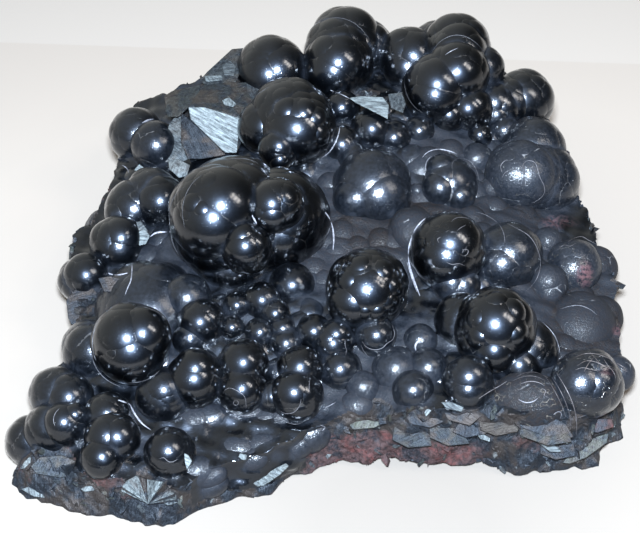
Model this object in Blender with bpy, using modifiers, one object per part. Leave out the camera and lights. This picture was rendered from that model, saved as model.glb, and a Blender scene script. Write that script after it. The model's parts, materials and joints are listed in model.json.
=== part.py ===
"""Botryoidal hematite: a broken piece of crust, grown and kept as one body.

A plate of layered iron oxide carries round, grape-like heads. The heads
overlap, so they meet in creases, and the largest of them are made of several
smaller swells. The plate is snapped off along its front, its left corner
thins out, and its underside is ground flat where it rests.

The heads are laid out as they show in one oblique front view, the view that
looks along +Y and down on the plate. A head's place in that view and the
height of the plate under it give its centre.

Lengths are in metres, +Z is up, and the origin is on the resting face below
the middle of the plan.
"""
import math

import bmesh
import bpy
from mathutils import Vector

# ------------------------------------------------------------ dimensions
MM = 0.001
VIEW_TILT = math.radians(43.0)     # how far the layout view looks down
VIEW_DISTANCE = 0.500              # eye to the middle of the specimen
VIEW_AIM_Z = 0.020                 # height of the point that the view aims at
VIEW_UNITS = 1940.0                # view units per radian, near the middle
VIEW_MIDDLE = (320.0, 266.5)       # view units, right and down

BASE_BELOW = 4.0 * MM              # stock below the resting face, ground off
FRONT_LIFT = 2.6 * MM              # the broken front edge clears the table
PLAN_STEPS = 112                   # points round the plate's outline
WALL_STEPS = 34                    # rings from the top's middle to the base's
GRAIN = 1.45 * MM                  # finest detail kept in the surface
FACE_SHARE = 0.118                 # share of the faces kept after easing

# Top of the plate under the heads: x, y, height, in millimetres.
TOP_LEVELS = (
    (-72, -56, 8), (-52, -63, 9), (-34, -67, 8), (-20, -58, 8), (-5, -52, 10),
    (-40, -45, 14), (-62, -40, 13), (-56, -20, 15), (-20, -38, 17),
    (6, -45, 15), (30, -44, 18), (55, -44, 18), (70, -42, 15), (76, -25, 14),
    (72, 0, 16), (50, -20, 22), (20, -20, 22), (-10, -15, 24), (-35, -5, 22),
    (-58, 10, 16), (-56, 40, 17), (-35, 25, 25), (-10, 15, 28), (20, 10, 27),
    (45, 10, 26), (65, 20, 18), (0, 40, 32), (30, 40, 32), (55, 38, 24),
    (-30, 50, 27), (-5, 62, 33), (35, 60, 33), (12, 55, 34),
)
LEVEL_REACH = 11.0                 # how far one level acts, in millimetres

# Outline of the plate, clockwise from the front corner, seen in the layout
# view: right, down, and the height in millimetres of that edge.
EDGE_IN_VIEW = (
    (10, 470, 5), (24, 499, 0), (85, 517, 0), (125, 525, 0), (170, 530, 0),
    (197, 512, 0), (222, 502, 0), (258, 497, 0), (294, 484, 0),
    (318, 473, 0), (348, 467, 0), (380, 466, 0), (413, 470, 0),
    (445, 471, 0), (482, 470, 0), (520, 478, 0), (560, 471, 0),
    (597, 466, 0), (610, 444, 2), (625, 426, 4), (631, 395, 8),
    (635, 366, 12), (624, 338, 12), (617, 300, 13), (606, 268, 14),
    (588, 232, 14), (578, 196, 16), (562, 164, 16), (540, 130, 18),
    (505, 108, 20), (455, 98, 20), (400, 94, 20), (345, 92, 20),
    (290, 98, 20), (240, 104, 18), (205, 106, 18), (168, 112, 18),
    (122, 122, 14), (112, 145, 12), (120, 170, 12), (112, 205, 12),
    (92, 240, 10), (62, 272, 10), (68, 300, 8), (70, 330, 7),
    (58, 362, 7), (30, 392, 7), (10, 432, 6),
)

# Heads: right, down and radius in the layout view, then how far the centre
# stands above the plate, as a share of the radius.
HEADS = (
    # front corner and left side
    (39, 446, 34, .25), (57, 425, 33, .35), (66, 396, 34, .30),
    (92, 356, 31, .25), (130, 343, 42, .75), (87, 276, 25, .20),
    (114, 244, 27, .45), (135, 206, 33, .35), (159, 199, 35, .40),
    (140, 137, 31, .45), (157, 147, 28, .45),
    # largest head, and the plain dome that leans on it
    (246, 224, 70, .45), (238, 256, 47, .30), (173, 276, 42, .25),
    # back row
    (275, 73, 39, .45), (343, 55, 42, .50), (288, 122, 49, .55),
    (446, 84, 52, .45), (407, 60, 35, .35), (512, 103, 40, .30),
    (482, 136, 18, .40), (489, 72, 20, .30), (543, 146, 24, .20),
    (530, 176, 40, .35),
    # upper middle
    (455, 186, 34, .10), (375, 192, 36, .15), (341, 112, 19, .35),
    (367, 126, 19, .30), (347, 133, 15, .35), (342, 147, 13, .35),
    (361, 151, 17, .25), (388, 134, 16, .25), (391, 152, 13, .20),
    (408, 152, 15, .20), (476, 158, 16, .15),
    # centre and right
    (367, 288, 43, .50), (379, 339, 22, .25), (449, 250, 40, .55),
    (455, 281, 27, .45), (513, 259, 28, .25), (495, 333, 50, .40),
    (470, 381, 27, .30), (526, 402, 41, .00), (582, 386, 33, .35),
    (616, 376, 20, .25), (573, 268, 28, .25), (596, 266, 24, .15),
    (549, 286, 20, .20), (579, 337, 34, .10), (412, 234, 27, .05),
    # grapes in the hollow before the largest head
    (238, 306, 14, .45), (262, 300, 20, .45), (275, 313, 17, .50),
    (260, 331, 15, .35), (287, 344, 17, .35), (313, 329, 19, .45),
    (334, 340, 22, .50), (343, 368, 25, .35), (280, 374, 18, .30),
    (298, 303, 22, .40), (292, 284, 20, .40), (320, 304, 19, .30),
    (320, 278, 24, .25),
    # front rank, down to the broken edge
    (245, 363, 27, .60), (242, 387, 27, .40), (303, 368, 22, .60),
    (298, 398, 27, .40), (277, 391, 22, .35), (195, 380, 29, .50),
    (163, 401, 27, .30), (107, 414, 26, .35), (113, 438, 28, .40),
    (103, 455, 25, .45), (172, 452, 28, .35), (207, 437, 21, .20),
    (398, 372, 25, .10), (412, 392, 19, .20), (421, 340, 19, .15),
)

# Heads that curl over the back rim: x, y, height of the centre and radius,
# in millimetres.
RIM_HEADS = (
    (-41, 44, 17, 8), (-24, 51, 21, 9), (-6, 57, 20, 9), (15, 59, 22, 10),
    (35, 57, 19, 9), (50, 45, 16, 9), (61, 30, 13, 8), (-57, 24, 10, 7),
    (67, 8, 11, 7),
)

EYE = Vector((0.0, -VIEW_DISTANCE * math.cos(VIEW_TILT),
              VIEW_AIM_Z + VIEW_DISTANCE * math.sin(VIEW_TILT)))
AHEAD = Vector((0.0, math.cos(VIEW_TILT), -math.sin(VIEW_TILT)))
ACROSS = Vector((1.0, 0.0, 0.0))
UPWARD = ACROSS.cross(AHEAD)


# --------------------------------------------------------------- layout
def sight(right, down):
    """Direction from the eye through a place in the layout view."""
    return (AHEAD + ACROSS * ((right - VIEW_MIDDLE[0]) / VIEW_UNITS)
            - UPWARD * ((down - VIEW_MIDDLE[1]) / VIEW_UNITS))


def at_height(right, down, z):
    """Point at height z that shows at a place in the layout view."""
    line = sight(right, down)
    return EYE + line * ((z - EYE.z) / line.z)


def top_level(x, y):
    """Height of the plate's top, eased between the levels in the table."""
    total = weight = 0.0
    for lx, ly, lz in TOP_LEVELS:
        d2 = (x / MM - lx) ** 2 + (y / MM - ly) ** 2
        w = math.exp(-d2 / (2 * LEVEL_REACH ** 2)) + 1e-4 / (1 + d2)
        total += w * lz
        weight += w
    return total / weight * MM


def head_centre(right, down, radius, stand):
    """Centre and radius, in metres, of a head given in the layout view."""
    z = 20 * MM
    for _ in range(14):
        p = at_height(right, down, z)
        size = radius * (p - EYE).dot(AHEAD) / VIEW_UNITS
        z = 0.5 * z + 0.5 * (top_level(p.x, p.y) + stand * size)
    p = at_height(right, down, z)
    return p, radius * (p - EYE).dot(AHEAD) / VIEW_UNITS


def outline():
    """The plate's outline in plan."""
    return [at_height(r, d, z * MM).to_2d() for r, d, z in EDGE_IN_VIEW]


def reach(points, angle):
    """Distance from the origin to the outline in one direction in plan."""
    ray = Vector((math.cos(angle), math.sin(angle)))
    best = 0.0
    for a, b in zip(points, points[1:] + points[:1]):
        e = b - a
        den = ray.x * e.y - ray.y * e.x
        if abs(den) < 1e-12:
            continue
        t = (a.x * e.y - a.y * e.x) / den
        s = (a.x * ray.y - a.y * ray.x) / den
        if t > best and -1e-9 <= s <= 1 + 1e-9:
            best = t
    return best


# --------------------------------------------------------------- shapes
def add_plate(bm):
    """A ball pressed out to the plate's outline, top and underside."""
    edge = outline()
    made = bmesh.ops.create_uvsphere(bm, u_segments=PLAN_STEPS,
                                     v_segments=WALL_STEPS, radius=1.0)
    for v in made["verts"]:
        polar = math.degrees(math.acos(max(-1.0, min(1.0, v.co.z))))
        angle = math.atan2(v.co.y, v.co.x)
        if polar < 75:
            share, wall = polar / 75, 0.0
        elif polar > 115:
            share, wall = (180 - polar) / 65, 1.0
        else:
            share, wall = 1.0, (polar - 75) / 40
        far = reach(edge, angle)
        # The broken front is steep and steps in at its top; round the
        # back and sides the base is the narrower of the two.
        front = max(0.0, min(1.0, -2.5 * math.sin(angle) - 0.2))
        share *= 1.0 - 0.055 * (1 - wall) * front - 0.10 * wall * (1 - front)
        x = far * share * math.cos(angle)
        y = far * share * math.sin(angle)
        top = top_level(x, y) - 0.8 * MM
        # Under the middle of the broken front the base is hollowed.
        hollow = (math.exp(-((x - 0.026) / 0.030) ** 2)
                  * max(0.0, min(1.0, (-y - 0.030) / 0.016)))
        low = -BASE_BELOW + hollow * (BASE_BELOW + FRONT_LIFT)
        v.co = (x, y, top + (low - top) * wall)


def add_heads(bm):
    """Every head as a ball; a faint swell keeps them from being exact."""
    balls = [head_centre(*head) for head in HEADS]
    balls += [(Vector((x, y, z)) * MM, r * MM) for x, y, z, r in RIM_HEADS]
    for centre, size in balls:
        fine = 4 if size > 7 * MM else 3
        made = bmesh.ops.create_icosphere(bm, subdivisions=fine, radius=size)
        for v in made["verts"]:
            n = v.co.normalized()
            swell = (math.sin(5 * n.x + 900 * centre.x)
                     * math.sin(4 * n.y + 700 * centre.y)
                     * math.sin(5 * n.z + 800 * centre.z))
            v.co = centre + v.co * (1 + 0.025 * swell)


def finish(name, bm, collection):
    mesh = bpy.data.meshes.new(name)
    bm.to_mesh(mesh)
    bm.free()
    obj = bpy.data.objects.new(name, mesh)
    collection.objects.link(obj)
    return obj


def main():
    for obj in list(bpy.data.objects):
        bpy.data.objects.remove(obj, do_unlink=True)
    parts = bpy.data.collections.new("botryoidal_hematite")
    cutters = bpy.data.collections.new("cutters")
    bpy.context.scene.collection.children.link(parts)
    bpy.context.scene.collection.children.link(cutters)

    bm = bmesh.new()
    add_plate(bm)
    add_heads(bm)
    bmesh.ops.recalc_face_normals(bm, faces=bm.faces[:])
    hematite = finish("hematite", bm, parts)

    # Below the resting face everything is ground away.
    bm = bmesh.new()
    bmesh.ops.create_cube(bm, size=1.0)
    bmesh.ops.scale(bm, vec=(0.30, 0.30, 0.040), verts=bm.verts[:])
    bmesh.ops.translate(bm, vec=(0.0, 0.0, -0.020), verts=bm.verts[:])
    ground = finish("ground_off", bm, cutters)
    ground.hide_render = True
    ground.display_type = 'WIRE'

    grown = hematite.modifiers.new("grown_together", 'REMESH')
    grown.mode = 'VOXEL'
    grown.voxel_size = GRAIN
    grown.adaptivity = 0.0
    eased = hematite.modifiers.new("eased", 'DECIMATE')
    eased.decimate_type = 'COLLAPSE'
    eased.ratio = FACE_SHARE
    flat = hematite.modifiers.new("resting_face", 'BOOLEAN')
    flat.operation = 'DIFFERENCE'
    flat.solver = 'EXACT'
    flat.object = ground

    black = bpy.data.materials.new("hematite_black")
    black.use_nodes = True
    shader = black.node_tree.nodes["Principled BSDF"]
    shader.inputs["Base Color"].default_value = (0.022, 0.023, 0.030, 1.0)
    shader.inputs["Metallic"].default_value = 0.55
    shader.inputs["Roughness"].default_value = 0.22
    hematite.data.materials.append(black)
    hematite.data.shade_smooth()
    hematite.data.set_sharp_from_angle(angle=math.radians(50))


main()
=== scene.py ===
"""Looks of the botryoidal hematite specimen.

The visible surface is one level set: overlapping round heads, each made of
smaller swells, on a broken plate. It is turned into a mesh whose points lie
on the creases themselves, so that the creases stay crisp. Lengths inside the
surface part are in millimetres.
"""
import math

import bmesh
import bpy
import numpy as np
from mathutils import Matrix, Vector
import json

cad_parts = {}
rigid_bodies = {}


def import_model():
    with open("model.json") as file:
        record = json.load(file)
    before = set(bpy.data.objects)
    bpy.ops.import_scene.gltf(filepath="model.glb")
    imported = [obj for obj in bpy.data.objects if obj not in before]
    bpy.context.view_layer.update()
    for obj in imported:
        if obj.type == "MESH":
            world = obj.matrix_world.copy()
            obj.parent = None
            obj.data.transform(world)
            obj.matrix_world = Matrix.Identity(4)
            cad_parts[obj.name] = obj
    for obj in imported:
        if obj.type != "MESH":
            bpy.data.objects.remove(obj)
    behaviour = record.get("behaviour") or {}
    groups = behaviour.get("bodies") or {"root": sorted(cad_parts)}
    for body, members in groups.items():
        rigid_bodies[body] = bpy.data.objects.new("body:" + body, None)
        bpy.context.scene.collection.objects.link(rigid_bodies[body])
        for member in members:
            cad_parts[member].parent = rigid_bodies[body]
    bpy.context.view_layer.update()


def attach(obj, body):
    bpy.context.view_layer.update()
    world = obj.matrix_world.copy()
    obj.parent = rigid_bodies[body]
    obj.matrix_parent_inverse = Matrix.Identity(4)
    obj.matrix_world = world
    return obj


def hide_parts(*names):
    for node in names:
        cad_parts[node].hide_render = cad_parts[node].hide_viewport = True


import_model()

# =========================================================== layout view
TILT = math.radians(43.0)
EYE_DISTANCE = 500.0
AIM = np.array([0.0, 0.0, 20.0])
VIEW_UNITS = 1940.0
MID_U, MID_V = 320.0, 266.5
AHEAD = np.array([0.0, math.cos(TILT), -math.sin(TILT)])
ACROSS = np.array([1.0, 0.0, 0.0])
UPWARD = np.cross(ACROSS, AHEAD)
EYE = AIM - AHEAD * EYE_DISTANCE


def sight(u, v):
    return AHEAD + ACROSS * ((u - MID_U) / VIEW_UNITS) - UPWARD * ((v - MID_V) / VIEW_UNITS)


def at_height(u, v, z):
    d = sight(u, v)
    return EYE + d * ((z - EYE[2]) / d[2])


def depth_of(p):
    return float((np.asarray(p) - EYE) @ AHEAD)


def in_view(p):
    """Place in the layout view of points (n, 3)."""
    q = np.asarray(p) - EYE
    t = q @ AHEAD
    return MID_U + VIEW_UNITS * (q @ ACROSS) / t, MID_V - VIEW_UNITS * (q @ UPWARD) / t


# ================================================================ tables
TOP_LEVELS = np.array((
    (-72, -56, 8), (-52, -63, 9), (-34, -67, 8), (-20, -58, 8), (-5, -52, 10),
    (-40, -45, 14), (-62, -40, 13), (-56, -20, 15), (-20, -38, 17),
    (6, -45, 15), (30, -44, 18), (55, -44, 18), (70, -42, 15), (76, -25, 14),
    (72, 0, 16), (50, -20, 22), (20, -20, 22), (-10, -15, 24), (-35, -5, 22),
    (-58, 10, 16), (-56, 40, 17), (-35, 25, 25), (-10, 15, 28), (20, 10, 27),
    (45, 10, 26), (65, 20, 18), (0, 40, 32), (30, 40, 32), (55, 38, 24),
    (-30, 50, 27), (-5, 62, 33), (35, 60, 33), (12, 55, 34),
), dtype=float)
LEVEL_REACH = 11.0

EDGE_IN_VIEW = (
    (10, 470, 5), (24, 499, 0), (85, 517, 0), (125, 525, 0), (170, 530, 0),
    (197, 512, 0), (222, 502, 0), (258, 497, 0), (294, 484, 0),
    (318, 473, 0), (348, 467, 0), (380, 466, 0), (413, 470, 0),
    (445, 471, 0), (482, 470, 0), (520, 478, 0), (560, 471, 0),
    (597, 466, 0), (610, 444, 2), (625, 426, 4), (631, 395, 8),
    (635, 366, 12), (624, 338, 12), (617, 300, 13), (606, 268, 14),
    (588, 232, 14), (578, 196, 16), (562, 164, 16), (540, 130, 18),
    (505, 108, 20), (455, 98, 20), (400, 94, 20), (345, 92, 20),
    (290, 98, 20), (240, 104, 18), (205, 106, 18), (170, 117, 18),
    (134, 132, 12), (116, 150, 12), (120, 170, 12), (112, 205, 12),
    (92, 240, 10), (66, 274, 10), (70, 300, 8), (76, 330, 7),
    (68, 362, 7), (44, 392, 7), (24, 432, 6),
)

# name, u, v, radius, stand, dull, lobes (u, v, radius, proud), and options:
# deep = (name, lift) sets the centre's depth that much nearer to the view than
# the named head's; cells is the number of low swells all round; dots are small
# low swells at set places; bare leaves the front without a lobe. Places and radii are in view units. Each lobe's nearest
# point lies on the head's own round body, or stands proud of it.
HEADS = (
    ("l2", 66, 424, 24, .50, .06, [(75, 415, 16, 1.5), (64, 423, 22, 1)], {}),
    ("l2b", 51, 429, 28, 0, .08, [], {"deep": ("l2", -14)}),
    ("l1", 31, 441, 27, 0, .08, [], {"deep": ("l2", -28)}),
    ("l3", 69, 398, 26, .35, .08, [], {}),
    ("l3b", 57, 394, 29, 0, .10, [], {"deep": ("l3", -11)}),
    ("l5", 93, 352, 31, .15, .12, [], {}),
    ("l5b", 88, 347, 28, 0, .12, [], {"deep": ("l5", -8)}),
    ("A", 130, 342, 41, .75, .0, [(127, 340, 38, 1), (131, 349, 38, 1), (142, 335, 32, 1.5), (134, 362, 24, 1)],
     {"cells": 34, "dots": ((116, 322, 17), (109, 339, 16), (114, 356, 16), (140, 315, 18), (156, 343, 17), (152, 360, 16))}),
    ("l6", 86, 276, 24, .12, .06, [], {"cells": 12}),
    ("l6b", 80, 281, 23, 0, .06, [], {"deep": ("l6", -7)}),
    ("l7", 116, 243, 28, .45, .05, [(121, 239, 24, 1), (119, 247, 23, .5)], {}),
    ("l8", 134, 208, 30, .35, .08, [(134, 210, 27, 1), (124, 214, 22, .5)], {}),
    ("l9", 160, 202, 28, .40, .06, [], {}),
    ("l9b", 152, 194, 28, 0, .10, [], {"deep": ("l9", -9)}),
    ("l10", 136, 134, 28, .45, .10, [], {}),
    ("l11", 156, 146, 26, .45, .15, [], {}),
    ("B", 235, 222, 67, .30, .0, [], {"bare": 1, "cells": 64}),
    ("B1", 216, 213, 49, 0, .0, [(221, 208, 45, .5), (213, 219, 43, 1)], {"deep": ("B", 31), "cells": 96, "dots": (
        (191, 204, 19), (201, 211, 17), (188, 218, 19), (199, 224, 17), (192, 235, 20), (205, 236, 18), (218, 242, 19),
        (231, 240, 19), (204, 249, 20), (220, 255, 20), (212, 180, 24), (236, 186, 24))}),
    ("B2", 277, 205, 29, 0, .0, [(272, 205, 25, .5), (266, 211, 23, .5), (272, 212, 22, .5)], {"deep": ("B", 44), "cells": 24}),
    ("B3", 247, 248, 27, 0, .0, [(243, 239, 22, .5), (245, 247, 24, .5)], {"deep": ("B", 54), "cells": 20}),
    ("B_r", 279, 219, 53, 0, .0, [], {"deep": ("B", 2), "bare": 1, "cells": 60}),
    ("B8", 234, 262, 38, .05, .04, [], {"bare": 1}),
    ("Z", 151, 317, 59, -.34, .16, [], {"cells": 34}),
    ("Z1", 187, 299, 26, .30, .16, [], {}),
    ("Z2", 202, 322, 25, .35, .05, [(200, 323, 23, 1)], {}),
    ("Z3", 190, 339, 18, .45, .08, [], {}),
    ("C", 271, 70, 36, .42, .04, [(269, 75, 32, 1), (277, 71, 32, 1)], {}),
    ("D", 338, 63, 36, .55, .03, [(338, 64, 33, .5), (334, 71, 30, 1)], {}),
    ("D1", 339, 51, 36, 0, .03, [], {"deep": ("D", -10)}),
    ("D2", 346, 44, 39, 0, .04, [], {"deep": ("D", -22)}),
    ("D3", 366, 48, 29, 0, .04, [], {"deep": ("D", -26)}),
    ("E", 297, 128, 42, .50, .0, [(297, 130, 39, .5)], {"cells": 30, "dots": (
        (306, 108, 18), (320, 116, 17), (324, 136, 17), (312, 150, 18), (284, 106, 18))}),
    ("E0", 289, 119, 43, 0, .0, [], {"deep": ("E", -9), "bare": 1}),
    ("El", 264, 127, 28, 0, .0, [], {"deep": ("E", -6)}),
    ("E3", 279, 149, 21, 0, .0, [(279, 147, 18, .5), (280, 159, 13, 0)], {"deep": ("E", 20)}),
    ("F", 409, 58, 32, .45, .04, [(407, 67, 25, 1), (413, 57, 26, .5)], {}),
    ("G", 436, 88, 35, .60, .0, [(437, 86, 31, .5), (435, 95, 29, 1)], {"cells": 26}),
    ("Gu", 457, 73, 34, 0, .0, [], {"deep": ("G", -3)}),
    ("Gt", 457, 54, 33, 0, .03, [], {"deep": ("G", -19)}),
    ("Gr", 470, 109, 24, 0, .0, [(468, 109, 20, .5)], {"deep": ("G", 0)}),
    ("Gb", 449, 115, 20, 0, .03, [], {"deep": ("G", 4)}),
    ("F2", 436, 50, 30, 0, .04, [], {"deep": ("G", -53)}),
    ("F3", 457, 47, 35, 0, .04, [], {"deep": ("G", -30)}),
    ("I", 498, 106, 24, .40, .08, [(495, 104, 20, 1), (496, 115, 16, 1.5)], {}),
    ("Ib", 508, 102, 27, 0, .08, [], {"deep": ("I", -10)}),
    ("I2", 523, 100, 32, 0, .08, [], {"deep": ("I", -20)}),
    ("I4", 504, 131, 18, .25, .10, [], {}),
    ("I3", 480, 135, 13, .45, .05, [], {}),
    ("I6", 484, 68, 22, 0, .08, [], {"deep": ("G", -20)}),
    ("J", 520, 176, 38, .35, .32, [(517, 176, 36, .5), (525, 176, 35, .5)], {"cells": 14}),
    ("J1", 531, 178, 38, 0, .22, [], {"deep": ("J", -9)}),
    ("J2", 541, 182, 40, 0, .20, [], {"deep": ("J", -19)}),
    ("I7", 533, 150, 34, 0, .18, [], {"deep": ("J", -30)}),
    ("K", 450, 185, 29, .12, .16, [(440, 188, 16, 2.5), (460, 196, 23, 2)], {}),
    ("Ku", 441, 168, 15, 0, .16, [], {"deep": ("K", 4)}),
    ("L", 372, 188, 41, .12, .18, [(357, 199, 31, 1), (379, 195, 34, 1)], {"cells": 20}),
    ("m1", 342, 108, 19, .30, .05, [], {}),
    ("m2", 372, 130, 23, .25, .05, [], {}),
    ("m3", 342, 145, 20, .25, .06, [], {}),
    ("m5", 354, 159, 17, .20, .12, [], {}),
    ("m6", 394, 138, 18, .10, .10, [], {}),
    ("m9", 419, 131, 16, .10, .12, [], {}),
    ("m10", 417, 191, 8, .30, .40, [], {}),
    ("m12", 476, 160, 18, -.10, .30, [], {}),
    ("m13", 492, 189, 14, .10, .45, [], {}),
    ("N", 367, 289, 43, .50, .0, [(367, 291, 37, 1), (354, 301, 26, 2), (365, 308, 11, 1.5), (376, 308, 12, 1.5)], {"cells": 36, "dots": (
        (386, 268, 18), (398, 286, 17), (392, 306, 18), (344, 280, 18), (358, 262, 18), (372, 320, 18))}),
    ("O", 376, 336, 22, .25, .10, [], {}),
    ("P", 448, 250, 40, .55, .0, [(450, 246, 38, .5), (447, 256, 36, 1)], {"cells": 14}),
    ("P4", 456, 284, 24, .35, .10, [(452, 283, 19, 1), (463, 285, 18, 1)], {}),
    ("Q", 508, 256, 36, .22, .16, [(502, 264, 29, 1)], {"cells": 14}),
    ("R", 495, 328, 43, .45, .0, [(495, 326, 35, .5), (494, 350, 26, 5)], {"cells": 40, "dots": (
        (516, 308, 20), (474, 316, 18), (520, 336, 18), (474, 340, 18), (496, 298, 20))}),
    ("R2", 462, 320, 29, .35, .05, [(467, 322, 24, .5)], {}),
    ("R3", 519, 366, 26, 0, .04, [], {"deep": ("R", -2)}),
    ("R3b", 527, 351, 34, 0, .05, [], {"deep": ("R", -17)}),
    ("S", 468, 382, 27, .30, .10, [(469, 378, 23, 1), (468, 389, 21, 1)], {}),
    ("T", 527, 410, 46, -.46, .75, [(530, 412, 44, .5)], {"flat": .45, "cells": 10}),
    ("U", 588, 384, 37, .25, .15, [(581, 384, 32, 1)], {}),
    ("U3", 617, 374, 19, .20, .35, [], {}),
    ("V", 574, 267, 29, .25, .30, [(573, 269, 26, 1)], {}),
    ("V2", 594, 268, 24, -.45, .60, [], {}),
    ("W", 548, 284, 21, .20, .45, [(547, 282, 17, 1), (549, 291, 15, 1)], {}),
    ("W2", 547, 242, 16, .10, .45, [], {}),
    ("X", 578, 332, 42, -.45, .60, [], {"cells": 8}),
    ("X2", 600, 318, 24, -.62, .70, [], {}),
    ("Y", 412, 234, 27, -.1, .60, [], {}),
    ("a1", 237, 306, 15.5, .2, .05, [], {}),
    ("a2", 262, 301, 20, .2, .05, [], {}),
    ("a3", 275, 314, 16, .3, .05, [], {}),
    ("a4", 232, 328, 14, .1, .08, [], {}),
    ("a5", 260, 333, 16, .1, .08, [], {}),
    ("a6", 283, 329, 14, .2, .08, [], {}),
    ("a7", 286, 344, 17, .15, .08, [], {}),
    ("a8", 314, 332, 19, .2, .05, [], {}),
    ("a9", 334, 341, 22, .35, .05, [(333, 344, 18, 1), (336, 335, 15, .5)], {}),
    ("a10", 340, 370, 23, .15, .10, [], {}),
    ("a11", 280, 375, 18, .0, .08, [], {}),
    ("a13", 292, 286, 25, -.15, .08, [], {}),
    ("b1", 243, 364, 27, .60, .0, [], {}),
    ("b2", 242, 390, 26, .40, .0, [], {}),
    ("b3", 300, 368, 24, .60, .0, [], {}),
    ("b4", 297, 396, 28, .40, .04, [(294, 394, 24, .5)], {}),
    ("b5", 273, 397, 19, .30, .05, [], {}),
    ("b6", 195, 380, 31, .45, .0, [(195, 370, 26, 1), (194, 380, 26, 1)], {}),
    ("b7", 163, 398, 29, .18, .08, [(164, 391, 24, .5)], {"cells": 20}),
    ("b8", 107, 415, 24, .60, .06, [], {}),
    ("b9", 113, 438, 28, .40, .04, [(108, 438, 22, 1), (117, 438, 22, 1)], {}),
    ("b10", 102, 458, 23, .45, .04, [], {}),
    ("b11", 170, 453, 27, .35, .06, [(168, 452, 25, 1)], {}),
    ("c1", 363, 388, 18, -.05, .30, [], {}),
    ("c2", 413, 391, 22, .10, .16, [], {}),
    ("c3", 420, 341, 18, .10, .25, [], {}),
    ("c9", 428, 368, 21, .05, .20, [], {}),
    ("c4", 396, 370, 25, -.10, .25, [], {}),
)

# Heads over the back rim: x, y, z of the centre and radius, in millimetres.
RIM_HEADS = (
    (-41, 44, 17, 8), (-24, 51, 21, 9), (-6, 57, 20, 9), (15, 59, 22, 10),
    (35, 57, 19, 9), (50, 45, 16, 9), (61, 30, 13, 8), (-57, 24, 10, 7),
    (67, 8, 11, 7),
)


# ================================================================= plate
def exact_level(x, y):
    total, weight = np.zeros_like(x), np.zeros_like(x)
    for lx, ly, lz in TOP_LEVELS:
        d2 = (x - lx) ** 2 + (y - ly) ** 2
        w = np.exp(-d2 / (2 * LEVEL_REACH ** 2)) + 1e-4 / (1 + d2)
        total += w * lz
        weight += w
    return total / weight


LEVEL_LO, LEVEL_N = -110.0, 221
LEVELS = exact_level(*np.meshgrid(np.arange(LEVEL_N) + LEVEL_LO, np.arange(LEVEL_N) + LEVEL_LO, indexing="ij"))


def top_level(x, y):
    """Height of the plate's top under the heads."""
    x, y = np.broadcast_arrays(np.asarray(x, float), np.asarray(y, float))
    i = np.clip(np.floor(x - LEVEL_LO).astype(int), 0, LEVEL_N - 2)
    j = np.clip(np.floor(y - LEVEL_LO).astype(int), 0, LEVEL_N - 2)
    u, v = x - LEVEL_LO - i, y - LEVEL_LO - j
    return ((1 - u) * ((1 - v) * LEVELS[i, j] + v * LEVELS[i, j + 1])
            + u * ((1 - v) * LEVELS[i + 1, j] + v * LEVELS[i + 1, j + 1]))


def outline_radius():
    """Distance from the origin to the plate's outline, by direction."""
    pts = np.array([at_height(u, v, z)[:2] for u, v, z in EDGE_IN_VIEW])
    angles = np.linspace(-math.pi, math.pi, 1441)
    ray = np.stack([np.cos(angles), np.sin(angles)], 1)
    best = np.zeros(len(angles))
    for a, b in zip(pts, np.roll(pts, -1, 0)):
        e = b - a
        den = ray[:, 0] * e[1] - ray[:, 1] * e[0]
        den = np.where(np.abs(den) < 1e-9, 1e-9, den)
        t = (a[0] * e[1] - a[1] * e[0]) / den
        s = (a[0] * ray[:, 1] - a[1] * ray[:, 0]) / den
        ok = (s >= -1e-9) & (s <= 1 + 1e-9) & (t > best)
        best = np.where(ok, t, best)
    return angles, best


ANGLES, REACH = outline_radius()


def saw(x):
    """Triangle wave between -1 and 1."""
    return 4.0 * np.abs(x - np.floor(x + 0.5)) - 1.0


CHIP_WAVES = []
_rng = np.random.default_rng(71)
for wavelength, height in ((17.0, 1.5), (11.0, 1.1), (7.0, .8), (5.0, .55), (3.3, .36), (2.3, .22), (1.8, .15)):
    d = _rng.normal(size=3)
    d /= np.linalg.norm(d)
    CHIP_WAVES.append((d / wavelength, _rng.random(), height))


def chips(x, y, z):
    """Flat-faceted relief of broken rock, in millimetres."""
    out = 0.0
    for d, phase, height in CHIP_WAVES:
        out = out + height * saw(d[0] * x + d[1] * y + d[2] * z + phase)
    return out


def lumps(x, y):
    return (0.5 * np.sin(x / 3.1 + 1.7 * np.sin(y / 5.3)) * np.sin(y / 2.7 + 1.3 * np.sin(x / 4.7))
            + 0.25 * np.sin(x / 1.3 + y / 2.1) * np.sin(y / 1.1 - x / 2.3))


# Broken ground on the top: places in the layout view, reach, and depth of
# the break below the grown surface.
BREAKS = ((206, 130, 34, 0.6), (222, 95, 24, 0.0), (360, 102, 22, 0.0), (80, 305, 20, 0.0), (55, 466, 26, 0.0), (560, 440, 40, 0.0), (480, 425, 40, 0.0),
          (150, 488, 22, 0.0), (370, 426, 34, 1.0), (90, 500, 30, 0.0))


def broken(x, y):
    """1 where the plate's top is broken rock, 0 where it is grown crust."""
    x, y = np.broadcast_arrays(x, y)
    out = np.zeros(x.shape)
    for u, v, reach, _ in BREAKS:
        p = at_height(u, v, 18.0)
        p = at_height(u, v, float(top_level(p[0], p[1])))
        size = reach * depth_of(p) / VIEW_UNITS
        d = np.hypot(x - p[0], (y - p[1]) * 0.8) / size
        out = np.maximum(out, np.clip(1.6 - 1.6 * d, 0, 1))
    return out


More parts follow.
